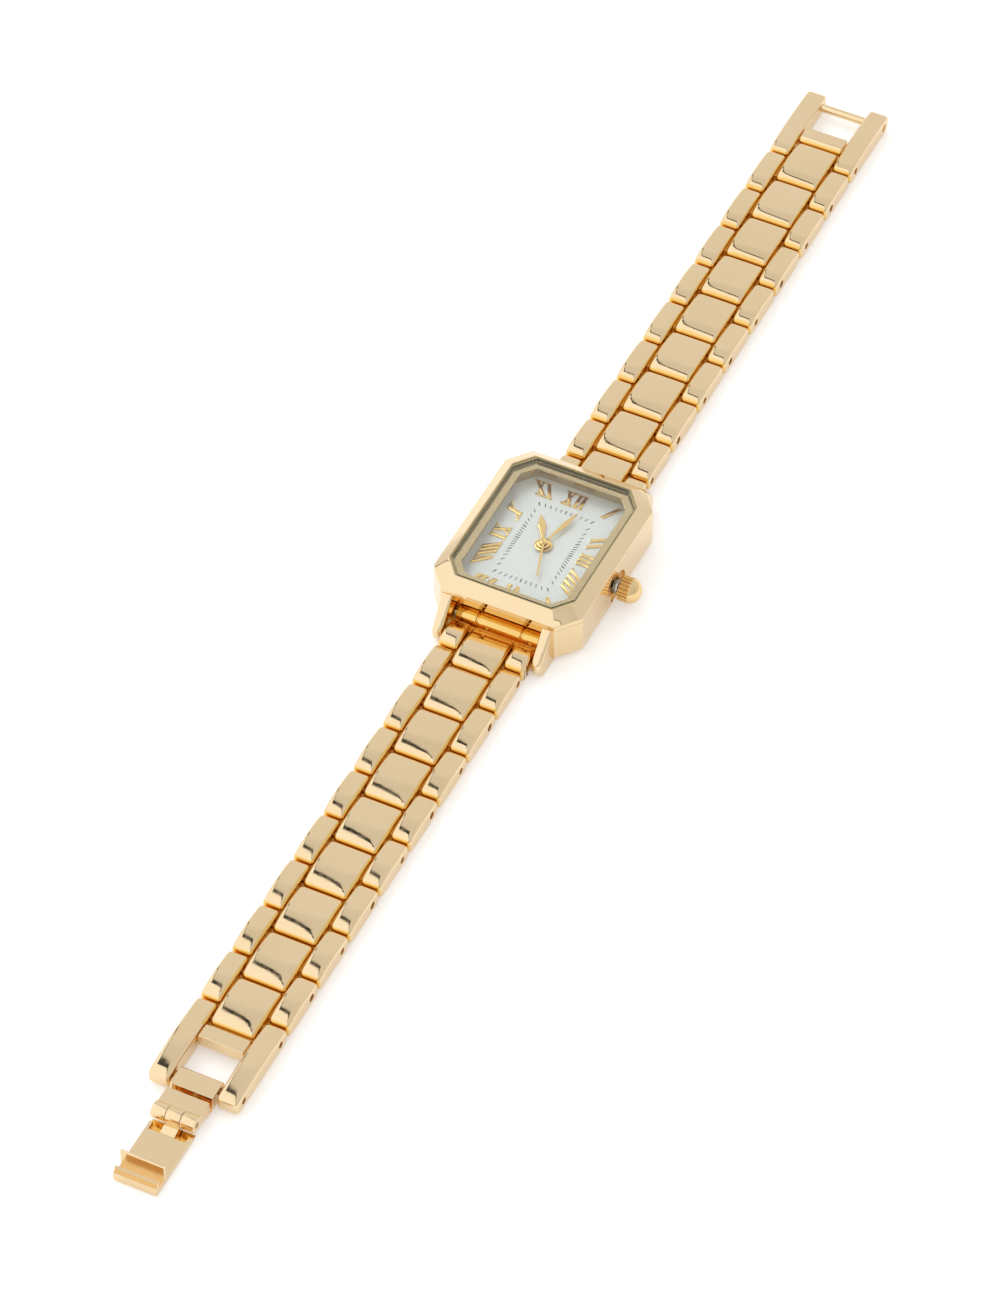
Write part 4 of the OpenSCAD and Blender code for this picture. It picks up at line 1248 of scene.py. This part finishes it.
    def frame_master(self, bar_r: float) -> Piece:
        """Models an end frame: two long arms, and a cross plate behind the pin.

        Args:
            bar_r: Radius of the bar or pin across the tips of the arms.

        Returns:
            The frame, on the twelve o'clock side.
        """
        bench = self.bench
        seam = self.seam_at(self.links + 1)
        arms = [self.pad("arm", *span, seam - self.lead + self.seam / 2, self.frame_end)
                for span in self.outer_spans]
        frame = bench.join("frame_master", arms)
        bench.drill(frame, [(seam - self.pin_back, self.hinge_z, self.pin_r),
                            (self.frame_pin, self.hinge_z, bar_r)])
        start, low, high = seam + self.seam / 2, self.cross_top - self.cross_t, self.cross_top
        plate = bench.box("cross_plate", (-self.half_c, start, low), (self.half_c, self.cross_end, high))
        bench.round_edges(plate, lambda a, b: (
            max(a.y, b.y) < start + TOUCH_MM and abs(a.z - b.z) < TOUCH_MM), self.cross_t / 2 - 0.01, 9)
        bench.apply(plate, "BEVEL", width=self.edge * MM, segments=3, limit_method="ANGLE",
                    angle_limit=math.radians(self.smooth_deg))
        core = self.core(self.core_inset, (seam + 0.5, self.cross_end - 0.3), (low + 0.3, high - 0.5))
        frame = bench.join("frame_master", [frame, plate, core])
        bench.smooth(frame, self.smooth_deg)
        return frame


@dataclass
class Clasp(Assembly):
    """Catch bar, frame pin and the two folding plates with their hinge pin."""

    half_w: float = 2.48
    # Metal that closes each plate's hollow: where along the bracelet, and between which heights
    cover: tuple[Span, Span] = ((83.6, 85.75), (1.0, 2.12))
    floor: tuple[Span, Span] = ((86.78, 87.6), (0.17, 0.38))
    pocket_end: float = 88.5
    pocket_top: float = 0.43
    pocket_half_w: float = 2.28
    hook_start: float = 92.9
    edge_mm: float = 0.07

    def build(self) -> None:
        """Dresses the clasp."""
        finishes, bench = self.finishes, self.bench
        bench.dress_node("catch_bar", finishes.gold, "gold", self.edge_mm)
        self.plate("fold_plate", *self.cover)
        latch = self.plate("latch_plate", *self.floor)
        # Painted shade and reflection: the pocket under the knuckles takes the deeper gold
        bench.refinish(latch, finishes.painted_bounce_gold, lambda at, normal: (
            -at.y < self.pocket_end and at.z < self.pocket_top and abs(at.x) < self.pocket_half_w
            and normal.z > -0.5))
        bench.refinish(latch, finishes.satin_gold, lambda at, normal: (
            -at.y > self.hook_start and abs(normal.y) > 0.5))
        for node in ("frame_pin", "hinge_pin"):
            bench.dress_node(node, finishes.pin, "steel", 0.05, 2)

    def plate(self, node: str, along: Span, heights: Span) -> Piece:
        """Dresses a folding plate and closes the hollow beside its knuckles.

        Args:
            node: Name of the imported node.
            along: Start and end, along the bracelet, of the metal that closes the hollow.
            heights: Bottom and top of that metal.

        Returns:
            The dressed plate.
        """
        bench = self.bench
        plate = bench.copy_node(node)
        closed = bench.box("closed", (-self.half_w, -along[1], heights[0]),
                           (self.half_w, -along[0], heights[1]))
        plate = bench.soften(bench.join(f"{node}_dressed", [plate, closed]), self.edge_mm)
        return bench.hand_over(plate, self.finishes.gold, "gold", node)


def main() -> None:
    """Builds the studio and every sub-assembly of the watch."""
    logging.basicConfig(level=logging.INFO, format="%(name)s: %(message)s")
    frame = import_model()
    bench = Bench(frame)
    finishes = Finishes()
    Studio().build()
    for assembly in (Case, Dial, Hands, Works, Bracelet, Clasp):
        LOG.info("building %s", assembly.__name__)
        assembly(bench, finishes).build()
    bench.clear()


if __name__ == "__main__":
    main()
